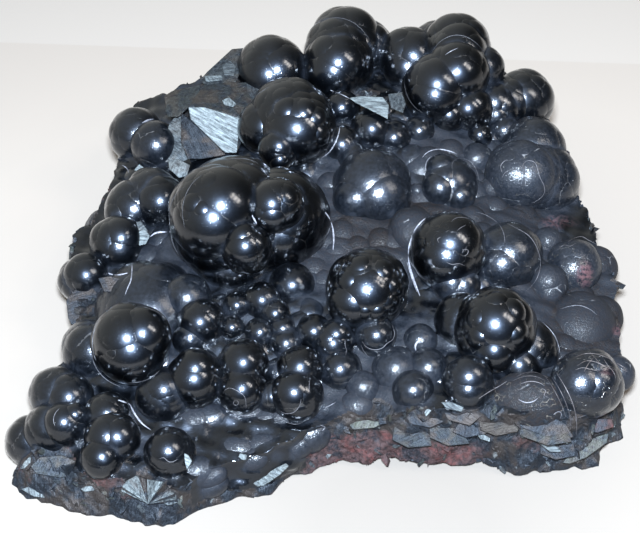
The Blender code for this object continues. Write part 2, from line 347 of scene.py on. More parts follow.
# Dusty crust: places in the layout view, reach, and how dusty.
DUSTY = ((375, 225, 62, .75), (425, 215, 30, .8), (470, 215, 40, .6), (590, 330, 70, .75), (548, 285, 40, .6),
         (520, 215, 40, .6), (540, 180, 44, .5), (610, 380, 40, .5), (160, 275, 45, .35), (330, 262, 36, .5),
         (355, 395, 50, .35), (420, 350, 36, .35), (590, 420, 30, .5), (200, 95, 40, .4), (90, 290, 30, .25),
         (400, 385, 40, .4), (345, 190, 40, .5), (440, 150, 34, .45), (480, 160, 34, .4))


def dusty(x, y):
    x, y = np.broadcast_arrays(np.asarray(x, float), np.asarray(y, float))
    out = np.full(x.shape, 0.06)
    for u, v, reach, much in DUSTY:
        p = at_height(u, v, 20.0)
        p = at_height(u, v, float(top_level(p[0], p[1])))
        size = reach * depth_of(p) / VIEW_UNITS
        d = np.hypot(x - p[0], (y - p[1]) * 0.75) / size
        out = np.maximum(out, much * np.clip(1.7 - 1.4 * d, 0, 1))
    return out


CRUST_LIFT = 1.1


def slope(x, y):
    """1 on the smooth dark slope down to the front edge, left of the middle."""
    return (np.exp(-(((x + 17.0) / 15.0) ** 4)) * np.clip((-y - 30.0) / 6.0, 0, 1))


def plate(x, y, z, parts=False):
    """Signed distance, roughly, to the plate. Arrays broadcast together."""
    angle = np.arctan2(y, x)
    rho = np.hypot(x, y)
    far = np.interp(angle, ANGLES, REACH)
    front = np.clip(-2.5 * np.sin(angle) - 0.2, 0, 1)
    s = top_level(x, y)
    lift = (np.exp(-((x - 26.0) / 30.0) ** 2) * np.clip((-y - 30.0) / 16.0, 0, 1)) * 3.0 - 0.4
    low = np.maximum(lift, 0.0)
    wall = np.clip((s - z) / np.maximum(s - low, 1.0), 0, 1)
    share = 1.0 - 0.055 * (1 - wall) * front - 0.10 * wall * (1 - front)
    side = (rho - far * share) * 0.93
    rock = chips(x, y, z)
    b = broken(x, y)
    top = (z - s - CRUST_LIFT - (1 - b) * lumps(x, y) - b * (0.55 * rock - 1.2)) * 0.93
    calm = slope(x, y) * np.clip((z - 2.0) / 3.0, 0, 1)
    side = side + 0.50 * rock * (1 - 0.85 * calm) + 0.5 - calm * 0.8 * lumps(x + 0.6 * z, y + 0.8 * z)
    under = low - z + 0.25 * np.where(low > 0, rock, 0.0)
    under = np.where(low > 0, under, -z + 0.0 * z)
    f = np.maximum(np.maximum(top, side), under)
    if parts:
        return f, top, side, under, b
    return f


# ================================================================= heads
class Swells:
    """Every round swell, as arrays."""

    def __init__(self):
        self.c, self.r, self.ax, self.sq, self.head = [], [], [], [], []

    def add(self, c, r, head, rng, squash=0.05):
        a = rng.normal(size=3)
        self.c.append(np.asarray(c, float))
        self.r.append(float(r))
        self.ax.append(a / np.linalg.norm(a))
        self.sq.append((rng.random() * 2 - 1) * squash)
        self.head.append(head)

    def close(self):
        for k in ("c", "r", "ax", "sq", "head"):
            setattr(self, k, np.array(getattr(self, k)))


def head_centre(u, v, radius, stand):
    z = 20.0
    for _ in range(14):
        p = at_height(u, v, z)
        size = radius * depth_of(p) / VIEW_UNITS
        z = 0.5 * z + 0.5 * (float(top_level(p[0], p[1])) + stand * size)
    p = at_height(u, v, z)
    return p, radius * depth_of(p) / VIEW_UNITS


def sphere_directions(n, rng):
    i = np.arange(n) + 0.5
    z = 1 - 2 * i / n
    a = i * math.pi * (3 - math.sqrt(5)) + rng.random() * 6.28
    d = np.stack([np.sqrt(1 - z * z) * np.cos(a), np.sqrt(1 - z * z) * np.sin(a), z], 1)
    d += rng.normal(size=d.shape) * 0.32 * math.sqrt(4.0 / n)
    q, _ = np.linalg.qr(rng.normal(size=(3, 3)))
    d = d @ q
    return d / np.linalg.norm(d, axis=1)[:, None]


def tuck(q, size, c, away, fronts, gap):
    """Moves a swell back until its nearest point lies under the front lobes."""
    best = None
    for p, wide in fronts:
        w = q - p
        beside = w @ w - (w @ away) ** 2
        if beside < wide ** 2:
            reach = -float((p - c) @ away) + math.sqrt(wide ** 2 - beside)
            best = reach if best is None else max(best, reach)
    if best is None:
        return None
    return q + away * max(size - float((q - c) @ away) - best + gap, 0.0)


def make_heads():
    sw = Swells()
    info = []                                   # per head: dull, centre, radius
    placed = {}
    for name, u, v, radius, stand, dull, lobes, extra in HEADS:
        if "deep" in extra:
            other, lift = extra["deep"]
            depth, unit = placed[other]
            c = EYE + sight(u, v) * (depth - lift * unit)
            r = radius * depth_of(c) / VIEW_UNITS
        else:
            c, r = head_centre(u, v, radius, stand)
        px = r / radius                          # millimetres per view unit here
        placed[name] = (depth_of(c), px)
        head = len(info)
        info.append([dull, *c, r])
        rng = np.random.default_rng(sum(ord(ch) * 31 ** i for i, ch in enumerate(name)) % (2 ** 31))
        n = extra.get("cells", int(np.interp(radius, (10, 14, 20, 28, 38, 45, 60, 70), (8, 10, 14, 20, 30, 40, 50, 60))))
        first = len(sw.c)
        ray = sight(u, v)
        away = ray / np.linalg.norm(ray)
        fronts = []
        if not lobes and "bare" not in extra:
            lobes = [(u, v, radius * 0.86, 0.3)]
        for su, sv, sr, proud in lobes:
            lateral = ACROSS * (su - u) * px - UPWARD * (sv - v) * px
            off = math.hypot(su - u, sv - v)
            wide = max(min(1.16 * sr, 1.05 * radius - off, 0.86 * radius), 0.6 * sr)
            out = math.sqrt(max(radius ** 2 - off ** 2, (0.3 * radius) ** 2))
            p = c + lateral - away * (out + 0.55 * proud - wide) * px
            sw.add(p, wide * px, head, rng, 0.02)
            fronts.append((p, wide * px))
        if fronts:
            sw.add(tuck(c, 0.945 * r, c, away, fronts, 0.02 * r) if tuck(c, r, c, away, fronts, 0) is not None else c + away * 0.12 * r,
                   0.945 * r, head, rng, 0.02)
        else:
            sw.add(c, 0.955 * r, head, rng, 0.02)
        for d in sphere_directions(n, rng):
            rs = r * (float(np.interp(radius, (22, 44), (0.72, 0.56))) + 0.16 * rng.random())
            q = c + d * (r * (0.968 + 0.035 * rng.random()) - rs)
            if fronts:
                q = tuck(q, rs, c, away, fronts, 0.03 * r)
                if q is None:
                    continue
            sw.add(q, rs, head, rng)
        for du, dv, ds in extra.get("dots", ()):  # small low swells with their tips at set places
            d = ACROSS * (du - u) - UPWARD * (dv - v) - away * math.sqrt(max(radius ** 2 - (du - u) ** 2 - (dv - v) ** 2, 1.0))
            d /= np.linalg.norm(d)
            sw.add(c + d * (1.03 * r - ds * px), ds * px, head, rng, 0.02)
        if "flat" in extra:                      # pressed together from front to back
            thin = 1.0 + extra["flat"]
            for k in range(first, len(sw.c)):
                sw.c[k][1] = c[1] + (sw.c[k][1] - c[1]) / thin
                sw.ax[k], sw.sq[k] = np.array([0.0, 1.0, 0.0]), extra["flat"]
    for x, y, z, r in RIM_HEADS:
        head = len(info)
        info.append([0.3, x, y, z, r])
        rng = np.random.default_rng(int(1000 + x * 7 + y * 13))
        c = np.array([x, y, z], float)
        sw.add(c, r * 0.955, head, rng, 0.02)
        for d in sphere_directions(20, rng):
            rs = r * (0.66 + 0.16 * rng.random())
            sw.add(c + d * (r * (0.965 + 0.04 * rng.random()) - rs), rs, head, rng)
    big = np.array(info)
    # Small grapes of the crust between the heads.
    rng = np.random.default_rng(5)
    for gx in np.arange(-78, 80, 5.6):
        for gy in np.arange(-72, 74, 5.6):
            x, y = gx + rng.normal() * 1.5, gy + rng.normal() * 1.5
            front_slope = y < -36 and x < 8
            r = 4.4 + 4.6 * rng.random() ** 1.5
            stand = rng.random() * 0.14 - 0.92
            d = float(plate(np.array(x), np.array(y), np.array(max(5.0, float(top_level(x, y)) - 6.0))))
            if front_slope:
                stand -= 0.03
            if d > (-1.7 if front_slope else -1.1) * r:
                continue
            z = float(top_level(x, y)) + CRUST_LIFT + stand * r
            p = np.array([x, y, z])
            inside = np.linalg.norm(big[:, 1:4] - p, axis=1) + r * 0.4 - big[:, 4]
            if inside.min() < 0:
                continue
            if float(broken(np.array([x]), np.array([y]))[0]) > 0.3:
                continue
            head = len(info)
            info.append([float(dusty(x, y)) * (0.8 + 0.4 * rng.random()), *p, r])
            sw.add(p, r, head, rng, 0.10)
    # long lumps on the smooth slope at the front
    rng = np.random.default_rng(9)
    for gx in np.arange(-36, 2, 4.6):
        for gz in np.arange(3.5, 15, 3.4):
            x, z, r = gx + rng.normal() * 1.2, gz + rng.normal() * 0.7, 3.0 + 2.2 * rng.random()
            y = -72.0
            while y < -36.0 and float(plate(np.array(x), np.array(y), np.array(z))) > -(r - 0.40):
                y += 0.4
            if y >= -36.0 or float(slope(np.array(x), np.array(y))) < 0.4 or z - r < 0.3:
                continue
            head = len(info)
            info.append([0.22 + 0.22 * rng.random(), x, y, z, r])
            sw.add((x, y, z), r, head, rng)
            sw.ax[-1], sw.sq[-1] = np.array([0.93, 0.0, 0.37]), -0.25 - 0.12 * rng.random()
    sw.close()
    return sw, np.array(info)


# ================================================================= field
H = 0.62
LO = np.array([-80.0, -74.0, -0.5 * H])
HI = np.array([84.0, 82.0, 60.0])
FAR = np.float32(1e3)


def build_field(sw):
    """Level set on a grid, with the nearest swell, the next swell of the same
    head, and the nearest swell of the next head. Swell 0 is the plate."""
    axes = [np.arange(LO[k], HI[k], H, dtype=np.float32) for k in range(3)]
    gx, gy, gz = axes[0][:, None, None], axes[1][None, :, None], axes[2][None, None, :]
    f1 = plate(gx, gy, gz).astype(np.float32)
    i1 = np.zeros(f1.shape, np.int16)
    ib = np.zeros(f1.shape, np.int16)
    i2 = np.zeros(f1.shape, np.int16)
    f2 = np.full(f1.shape, FAR, np.float32)
    pad = 1.6
    order = np.argsort(sw.head, kind="stable")
    for group in np.split(order, np.flatnonzero(np.diff(sw.head[order])) + 1):
        wide = np.where(sw.sq[group] > -0.2, 1.0, 2.1)[:, None] * sw.r[group, None]
        lo = (sw.c[group] - wide).min(0) - pad
        hi = (sw.c[group] + wide).max(0) + pad
        a = np.maximum(np.ceil((lo - LO) / H).astype(int), 0)
        b = np.minimum(np.floor((hi - LO) / H).astype(int) + 1, f1.shape)
        if (b <= a).any():
            continue
        shape = tuple(b - a)
        a1 = np.full(shape, FAR, np.float32)
        a2 = np.full(shape, FAR, np.float32)
        k1 = np.zeros(shape, np.int16)
        k2 = np.zeros(shape, np.int16)
        for k in group:
            c, r = sw.c[k], sw.r[k] * (1.06 if sw.sq[k] > -0.2 else 2.1) + pad
            p = np.maximum(np.ceil((c - r - LO) / H).astype(int), a)
            q = np.minimum(np.floor((c + r - LO) / H).astype(int) + 1, b)
            if (q <= p).any():
                continue
            dx = axes[0][p[0]:q[0], None, None] - np.float32(c[0])
            dy = axes[1][None, p[1]:q[1], None] - np.float32(c[1])
            dz = axes[2][None, None, p[2]:q[2]] - np.float32(c[2])
            ax, s = sw.ax[k].astype(np.float32), np.float32(sw.sq[k])
            t = dx * ax[0] + dy * ax[1] + dz * ax[2]
            d = dx * dx + dy * dy + dz * dz + t * t * (2 * s + s * s)
            d = np.sqrt(d) - np.float32(sw.r[k])
            sl = tuple(slice(p[n] - a[n], q[n] - a[n]) for n in range(3))
            v1, v2, w1, w2 = a1[sl], a2[sl], k1[sl], k2[sl]
            m = d < v1
            n2 = (~m) & (d < v2)
            v2[m], w2[m] = v1[m], w1[m]
            v1[m], w1[m] = d[m], k + 1
            v2[n2], w2[n2] = d[n2], k + 1
        sl = tuple(slice(a[n], b[n]) for n in range(3))
        g1, g2, h1, hb, h2 = f1[sl], f2[sl], i1[sl], ib[sl], i2[sl]
        m = a1 < g1
        n2 = (~m) & (a1 < g2)
        g2[m], h2[m] = g1[m], h1[m]
        g1[m], h1[m], hb[m] = a1[m], k1[m], k2[m]
        g2[n2], h2[n2] = a1[n2], k1[n2]
    return axes, f1, i1, ib, i2


def swell_value(sw, k, p, grad=False):
    d = p - sw.c[k]
    a = sw.ax[k]
    s = sw.sq[k]
    q = d + a * ((d * a).sum(1) * s)[:, None]
    length = np.linalg.norm(q, axis=1)
    if not grad:
        return length - sw.r[k]
    n = q / np.maximum(length, 1e-9)[:, None]
    g = n + a * ((n * a).sum(1) * s)[:, None]
    return g / np.linalg.norm(g, axis=1)[:, None]


def plate_gradient(p, eps=0.10):
    x, y, z = p.T
    g = np.stack([plate(x + eps, y, z) - plate(x - eps, y, z),
                  plate(x, y + eps, z) - plate(x, y - eps, z),
                  plate(x, y, z + eps) - plate(x, y, z - eps)], 1)
    return g / np.maximum(np.linalg.norm(g, axis=1), 1e-9)[:, None]


def values(sw, p, cand):
    out = np.full(cand.shape, 1e3)
    for j in range(cand.shape[1]):
        m = cand[:, j] > 0
        for i in range(j):
            m &= cand[:, j] != cand[:, i]
        if m.any():
            out[m, j] = swell_value(sw, cand[m, j] - 1, p[m])
    m = (cand == 0).any(1)
    if m.any():
        pv = plate(p[m, 0], p[m, 1], p[m, 2])
        first = np.argmax(cand[m] == 0, axis=1)
        rows = np.flatnonzero(m)
        out[rows, first] = pv
    return out


def component_table():
    """For each pattern of inside corners, which sheet each cell edge is on."""
    def edge(axis, db, dc):
        return axis * 4 + db + 2 * dc

    def ends(axis, db, dc):
        lo = [0, 0, 0]
        lo[(axis + 1) % 3], lo[(axis + 2) % 3] = db, dc
        hi = list(lo)
        hi[axis] = 1
        return tuple(lo), tuple(hi)

    every = [(a, b, c) for a in range(3) for b in (0, 1) for c in (0, 1)]
    corner = lambda q: q[0] + 2 * q[1] + 4 * q[2]
    comp = np.full((256, 12), -1, np.int8)
    count = np.zeros(256, np.int64)
    for cfg in range(256):
        inside = [(cfg >> b) & 1 for b in range(8)]
        crossing = {}
        for a, b, c in every:
            lo, hi = ends(a, b, c)
            if inside[corner(lo)] != inside[corner(hi)]:
                crossing[edge(a, b, c)] = (lo, hi)
        parent = {e: e for e in crossing}

        def root(e):
            while parent[e] != e:
                e = parent[e]
            return e

        for axis in range(3):
            for side in (0, 1):
                on = [e for e, (lo, hi) in crossing.items() if lo[axis] == side and hi[axis] == side]
                if len(on) == 2:
                    parent[root(on[0])] = root(on[1])
                elif len(on) == 4:
                    for q in {t for e in on for t in crossing[e]}:
                        if inside[corner(q)]:
                            mine = [e for e in on if q in crossing[e]]
                            parent[root(mine[0])] = root(mine[1])
        names = {}
        for e in sorted(crossing):
            comp[cfg, e] = names.setdefault(root(e), len(names))
        count[cfg] = len(names)
    return comp, count


def contour(sw, axes, f1, i1, ib, i2):
    """Mesh of the level set. Returns points, quads, and per quad the swell
    that it belongs to and the swells near it."""
    comp, count = component_table()
    inside = f1 < 0
    nx, ny, nz = f1.shape
    cfg = np.zeros((nx - 1, ny - 1, nz - 1), np.uint8)
    for b in range(8):
        i, j, k = b & 1, (b >> 1) & 1, b >> 2
        cfg |= inside[i:nx - 1 + i, j:ny - 1 + j, k:nz - 1 + k].astype(np.uint8) << b
    flat = cfg.ravel()
    active = np.flatnonzero((flat != 0) & (flat != 255))
    base = np.full(flat.shape, -1, np.int32)
    n_here = count[flat[active]]
    base[active] = np.concatenate([[0], np.cumsum(n_here)[:-1]])
    total = int(n_here.sum())
    cell_of = np.repeat(active, n_here)
    ci, rest = np.divmod(cell_of, (ny - 1) * (nz - 1))
    cj, ck = np.divmod(rest, nz - 1)
    centre = LO + (np.stack([ci, cj, ck], 1) + 0.5) * H

    edges_p, edges_n, edges_id, edges_cand, edges_verts = [], [], [], [], []
    for axis in range(3):
        lo_sl, hi_sl = [slice(None)] * 3, [slice(None)] * 3
        lo_sl[axis], hi_sl[axis] = slice(0, -1), slice(1, None)
        change = inside[tuple(lo_sl)] != inside[tuple(hi_sl)]
        idx = np.argwhere(change)
        b, c = (axis + 1) % 3, (axis + 2) % 3
        ok = (idx[:, b] > 0) & (idx[:, c] > 0) & (idx[:, b] < f1.shape[b] - 1) & (idx[:, c] < f1.shape[c] - 1)
        idx = idx[ok]
        other = idx.copy()
        other[:, axis] += 1
        a_t, b_t = tuple(idx.T), tuple(other.T)
        fa, fb = f1[a_t].astype(float), f1[b_t].astype(float)
        cand = np.stack([i1[a_t], i1[b_t], ib[a_t], ib[b_t], i2[a_t], i2[b_t]], 1).astype(np.int64)
        p0 = LO + idx * H
        t0, t1 = np.zeros(len(idx)), np.ones(len(idx))
        t = fa / (fa - fb)
        step = np.zeros(3)
        step[axis] = H
        for _ in range(4):
            p = p0 + t[:, None] * step
            v = values(sw, p, cand).min(1)
            same = (v < 0) == (fa < 0)
            t0, fa = np.where(same, t, t0), np.where(same, v, fa)
            t1, fb = np.where(same, t1, t), np.where(same, fb, v)
            den = np.where(np.abs(fa - fb) < 1e-12, 1e-12, fa - fb)
            t = np.clip(t0 + (t1 - t0) * fa / den, t0, t1)
        p = p0 + t[:, None] * step
        v = values(sw, p, cand)
        own = cand[np.arange(len(p)), v.argmin(1)]
        n = np.zeros_like(p)
        m = own > 0
        n[m] = swell_value(sw, own[m] - 1, p[m], grad=True)
        n[~m] = plate_gradient(p[~m])
        quad = np.empty((len(idx), 4), np.int64)
        for col, (ob, oc) in enumerate(((-1, -1), (0, -1), (0, 0), (-1, 0))):
            cell = idx.copy()
            cell[:, b] += ob
            cell[:, c] += oc
            lin = (cell[:, 0] * (ny - 1) + cell[:, 1]) * (nz - 1) + cell[:, 2]
            local = axis * 4 + (-ob) + 2 * (-oc)
            quad[:, col] = base[lin] + comp[flat[lin], local]
        first_inside = inside[a_t]
        quad = np.where(first_inside[:, None], quad, quad[:, ::-1])
        edges_p.append(p), edges_n.append(n), edges_id.append(own), edges_cand.append(cand), edges_verts.append(quad)
    p, n = np.concatenate(edges_p), np.concatenate(edges_n)
    own, cand, quads = np.concatenate(edges_id), np.concatenate(edges_cand), np.concatenate(edges_verts)

    # Each point is set where the surfaces that cross its cell meet.
    vert = quads.ravel()
    rel = np.repeat(p, 4, 0) - centre[vert]
    nn = np.repeat(n, 4, 0)
    dot = (rel * nn).sum(1)
    add = lambda w: np.bincount(vert, weights=w, minlength=total)
    ata = np.empty((total, 3, 3))
    atb = np.empty((total, 3))
    mean = np.empty((total, 3))
    num = np.maximum(np.bincount(vert, minlength=total), 1)
    for i in range(3):
        for j in range(i, 3):
            ata[:, i, j] = ata[:, j, i] = add(nn[:, i] * nn[:, j])
        atb[:, i] = add(nn[:, i] * dot)
        mean[:, i] = add(rel[:, i]) / num
    soft = 0.012 * num
    ata[:, [0, 1, 2], [0, 1, 2]] += soft[:, None]
    x = np.linalg.solve(ata, (atb + soft[:, None] * mean)[:, :, None])[:, :, 0]
    x = np.clip(x, -0.56 * H, 0.56 * H)
    points = centre + x
    points[:, 2] = np.maximum(points[:, 2], 0.0)
    return points, quads, own, cand


def surface():
    sw, info = make_heads()
    axes, f1, i1, ib, i2 = build_field(sw)
    points, quads, own, cand = contour(sw, axes, f1, i1, ib, i2)
    nq = len(quads)
    corner = quads.ravel()
    cp = points[corner]
    own4 = np.repeat(own, 4)
    normal = np.zeros_like(cp)
    m = own4 > 0
    normal[m] = swell_value(sw, own4[m] - 1, cp[m], grad=True)
    mid = np.repeat(points[quads].mean(1), 4, 0)
    normal[~m] = plate_gradient(cp[~m] * 0.7 + mid[~m] * 0.3)

    # Distance to the nearest crease, within a head and between heads.
    cand4 = np.repeat(cand, 4, 0)
    head_of = np.concatenate([[-1], sw.head])
    own_head = head_of[own4]
    own_value = np.zeros(len(cp))
    own_value[m] = swell_value(sw, own4[m] - 1, cp[m])
    lobe, head = np.full(len(cp), 4.0), np.full(len(cp), 4.0)
    for j in range(cand.shape[1]):
        k = cand4[:, j]
        t = (k > 0) & (k != own4)
        kt, pt = k[t] - 1, cp[t]
        gap = swell_value(sw, kt, pt) - own_value[t]
        turn = np.linalg.norm(swell_value(sw, kt, pt, grad=True) - normal[t], axis=1)
        far = np.where(turn > 0.13, np.clip(gap / np.maximum(turn, 0.02), 0, 4), 4.0)
        alike = head_of[kt + 1] == own_head[t]
        rows = np.flatnonzero(t)
        lobe[rows[alike]] = np.minimum(lobe[rows[alike]], far[alike])
        head[rows[~alike]] = np.minimum(head[rows[~alike]], far[~alike])
    t = (cand4 == 0).any(1) & m
    head[t] = np.minimum(head[t], np.clip(plate(*cp[t].T) - own_value[t], 0, 4))
    lv, hv = np.full(len(points), 4.0), np.full(len(points), 4.0)
    np.minimum.at(lv, corner, lobe)
    np.minimum.at(hv, corner, head)
    return dict(points=points, quads=quads, own=own, normal=normal, lobe=np.minimum(lv[corner], lobe),
                head=hv[corner], own_head=head_of[own], info=info, sw=sw)


# ================================================================ pieces
def make_piece(name, s, pick, attributes, material):
    """A mesh of the picked quads, with its own normals and attributes."""
    quads = s["quads"][pick]
    used, inverse = np.unique(quads.ravel(), return_inverse=True)
    co = (s["points"][used] * 0.001).astype(np.float32)
    mesh = bpy.data.meshes.new(name)
    mesh.vertices.add(len(co))
    mesh.vertices.foreach_set("co", co.ravel())
    mesh.loops.add(len(inverse))
    mesh.loops.foreach_set("vertex_index", inverse.astype(np.int32))
    mesh.polygons.add(len(quads))
    mesh.polygons.foreach_set("loop_start", np.arange(0, len(inverse), 4, dtype=np.int32))
    mesh.update(calc_edges=True)
    mesh.shade_smooth()
    loops = (pick[:, None] * 4 + np.arange(4)).ravel()
    for key, data in attributes.items():
        layer = mesh.color_attributes.new(key, "FLOAT_COLOR", "CORNER")
        layer.data.foreach_set("color", data[loops].astype(np.float32).ravel())
    mesh.normals_split_custom_set(s["normal"][loops].astype(np.float32))
    obj = bpy.data.objects.new(name, mesh)
    bpy.context.scene.collection.objects.link(obj)
    mesh.materials.append(material)
    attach(obj, "root")
    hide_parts("hematite")
    print("piece", name, len(co), "points", len(quads), "quads")
    return obj


# ============================================================= materials
class Nodes:
    """Short hand for building a material's node tree."""

    def __init__(self, name):
        self.material = bpy.data.materials.new(name)
        self.material.use_nodes = True
        self.tree = self.material.node_tree
        self.shader = self.tree.nodes["Principled BSDF"]
        self.out = self.tree.nodes["Material Output"]

    def put(self, kind, **settings):
        node = self.tree.nodes.new(kind)
        for key, value in settings.items():
            setattr(node, key, value)
        return node

    def link(self, value, socket):
        if isinstance(value, bpy.types.NodeSocket):
            self.tree.links.new(value, socket)
        else:
            socket.default_value = value

    def math(self, op, a, b=0.0, c=None, clamp=False):
        n = self.put("ShaderNodeMath", operation=op, use_clamp=clamp)
        self.link(a, n.inputs[0])
        self.link(b, n.inputs[1])
        if c is not None:
            self.link(c, n.inputs[2])
        return n.outputs[0]

    def ramp(self, value, lo, hi, a=0.0, b=1.0, smooth=True):
        n = self.put("ShaderNodeMapRange", interpolation_type="SMOOTHSTEP" if smooth else "LINEAR", clamp=True)
        for socket, v in zip(("Value", "From Min", "From Max", "To Min", "To Max"), (value, lo, hi, a, b)):
            self.link(v, n.inputs[socket])
        return n.outputs[0]

    def mix(self, factor, a, b, kind="MIX"):
        n = self.put("ShaderNodeMix", data_type="RGBA", blend_type=kind)
        self.link(factor, n.inputs[0])
        for socket, v in ((n.inputs[6], a), (n.inputs[7], b)):
            self.link((*v, 1.0) if isinstance(v, tuple) and len(v) == 3 else v, socket)
        return n.outputs[2]

    def attribute(self, name):
        n = self.put("ShaderNodeAttribute", attribute_type="GEOMETRY", attribute_name=name)
        split = self.put("ShaderNodeSeparateColor")
        self.tree.links.new(n.outputs["Color"], split.inputs[0])
        return (*split.outputs, n.outputs["Alpha"])

    def place(self):
        """Object position in millimetres."""
        n = self.put("ShaderNodeTexCoord")
        m = self.put("ShaderNodeVectorMath", operation="SCALE")
        self.tree.links.new(n.outputs["Object"], m.inputs[0])
        m.inputs["Scale"].default_value = 1000.0
        return m.outputs[0]

    def noise(self, at, scale, detail=3.0, rough=0.5, warp=0.0):
        n = self.put("ShaderNodeTexNoise")
        self.tree.links.new(at, n.inputs["Vector"])
        n.inputs["Scale"].default_value = scale
        n.inputs["Detail"].default_value = detail
        n.inputs["Roughness"].default_value = rough
        n.inputs["Distortion"].default_value = warp
        return n.outputs[0]

    def cells(self, at, scale, feature="F1", rand=1.0):
        n = self.put("ShaderNodeTexVoronoi", feature=feature)
        self.tree.links.new(at, n.inputs["Vector"])
        n.inputs["Scale"].default_value = scale
        n.inputs["Randomness"].default_value = rand
        return n

    def bump(self, height, distance, strength=1.0, under=None):
        n = self.put("ShaderNodeBump")
        self.link(height, n.inputs["Height"])
        n.inputs["Distance"].default_value = distance
        n.inputs["Strength"].default_value = strength
        if under is not None:
            self.tree.links.new(under, n.inputs["Normal"])
        return n.outputs[0]

    def set(self, **sockets):
        for key, value in sockets.items():
            socket = self.shader.inputs[key.replace("_", " ")]
            if isinstance(value, tuple) and len(value) == 3:
                value = (*value, 1.0)
            self.link(value, socket)


def grown_material():
    """Glossy black heads with a steel-blue depth, satin where they are dusty."""
    m = Nodes("grown_surface")
    at = m.place()
    dull, lobe, head, rnd = m.attribute("grow")
    flake, pale, stain, _ = m.attribute("mark")
    grain = m.noise(at, 1.1, 4.0, 0.6)
    blotch = m.noise(at, 0.16, 3.0, 0.55, 0.6)
    dust = m.math("MULTIPLY", dull, m.ramp(grain, 0.30, 0.70, 0.75, 1.25))
    # dirt gathers in the deep creases between heads
    deep = m.ramp(head, 0.0, 1.5, 1.0, 0.0)
    dust = m.math("ADD", dust, m.math("MULTIPLY", deep, m.ramp(blotch, 0.35, 0.7, 0.0, 0.25)), clamp=True)
    clean = m.mix(m.ramp(blotch, 0.3, 0.7), (0.0080, 0.0104, 0.0150), (0.0112, 0.0144, 0.0205))
    dirty = m.mix(m.ramp(grain, 0.35, 0.65), (0.0023, 0.0019, 0.0019), (0.0072, 0.0056, 0.0058))
    colour = m.mix(dust, clean, dirty)
    # pale hairlines where swells meet
    line = m.math("MULTIPLY", m.ramp(lobe, 0.0, 0.13, 1.0, 0.0), m.ramp(m.noise(at, 0.30, 2.0), 0.52, 0.66))
    line = m.math("MULTIPLY", line, pale, clamp=True)
    colour = m.mix(line, colour, (0.11, 0.11, 0.115))
    # specks of dust
    dot = m.cells(at, 0.42).outputs["Distance"]
    dot = m.math("MULTIPLY", m.ramp(dot, 0.02, 0.05, 1.0, 0.0, smooth=False), m.ramp(m.noise(at, 0.11, 2.0), 0.50, 0.60), clamp=True)
    colour = m.mix(dot, colour, (0.34, 0.34, 0.35))
    # red-brown stain
    colour = m.mix(m.math("MULTIPLY", stain, m.ramp(grain, 0.38, 0.55), clamp=True), colour, (0.054, 0.028, 0.031))
    # outlines of thin flakes
    edge = m.noise(at, 0.24, 2.0, 0.5, 0.8)
    ring = m.math("ABSOLUTE", m.math("SUBTRACT", edge, 0.52))
    ring = m.math("MULTIPLY", m.ramp(ring, 0.0, 0.006, 1.0, 0.0), flake, clamp=True)
    colour = m.mix(ring, colour, (0.12, 0.105, 0.085))
    m.set(Base_Color=colour,
          Metallic=m.ramp(dust, 0.0, 0.5, 1.0, 0.0),
          Roughness=m.math("ADD", m.ramp(dust, 0.0, 0.6, 0.31, 0.70), m.math("MULTIPLY", m.math("SUBTRACT", grain, 0.5), 0.12)),
          Coat_Weight=m.math("MULTIPLY", m.ramp(dust, 0.05, 0.55, 1.0, 0.10), m.ramp(line, 0.0, 1.0, 1.0, 0.3)),
          Coat_Roughness=0.16, Coat_IOR=1.44, Specular_IOR_Level=0.12)
    fine = m.bump(m.noise(at, 0.8, 3.0, 0.5), 0.00005, 0.5)
    specks = m.cells(at, 1.6)
    fine = m.bump(m.ramp(specks.outputs["Distance"], 0.0, 0.25, 1.0, 0.0), 0.00006, m_strength(m), fine)
    fine = m.bump(m.math("MULTIPLY", m.ramp(edge, 0.515, 0.525), flake), 0.00012, 1.0, fine)
    fine = m.bump(m.math("MULTIPLY", m.noise(at, 2.2, 4.0, 0.65), dust), 0.00035, 0.7, fine)
    m.set(Normal=fine)
    m.tree.links.new(fine, m.shader.inputs["Coat Normal"])
    return m.material


def m_strength(_):
    return 0.35


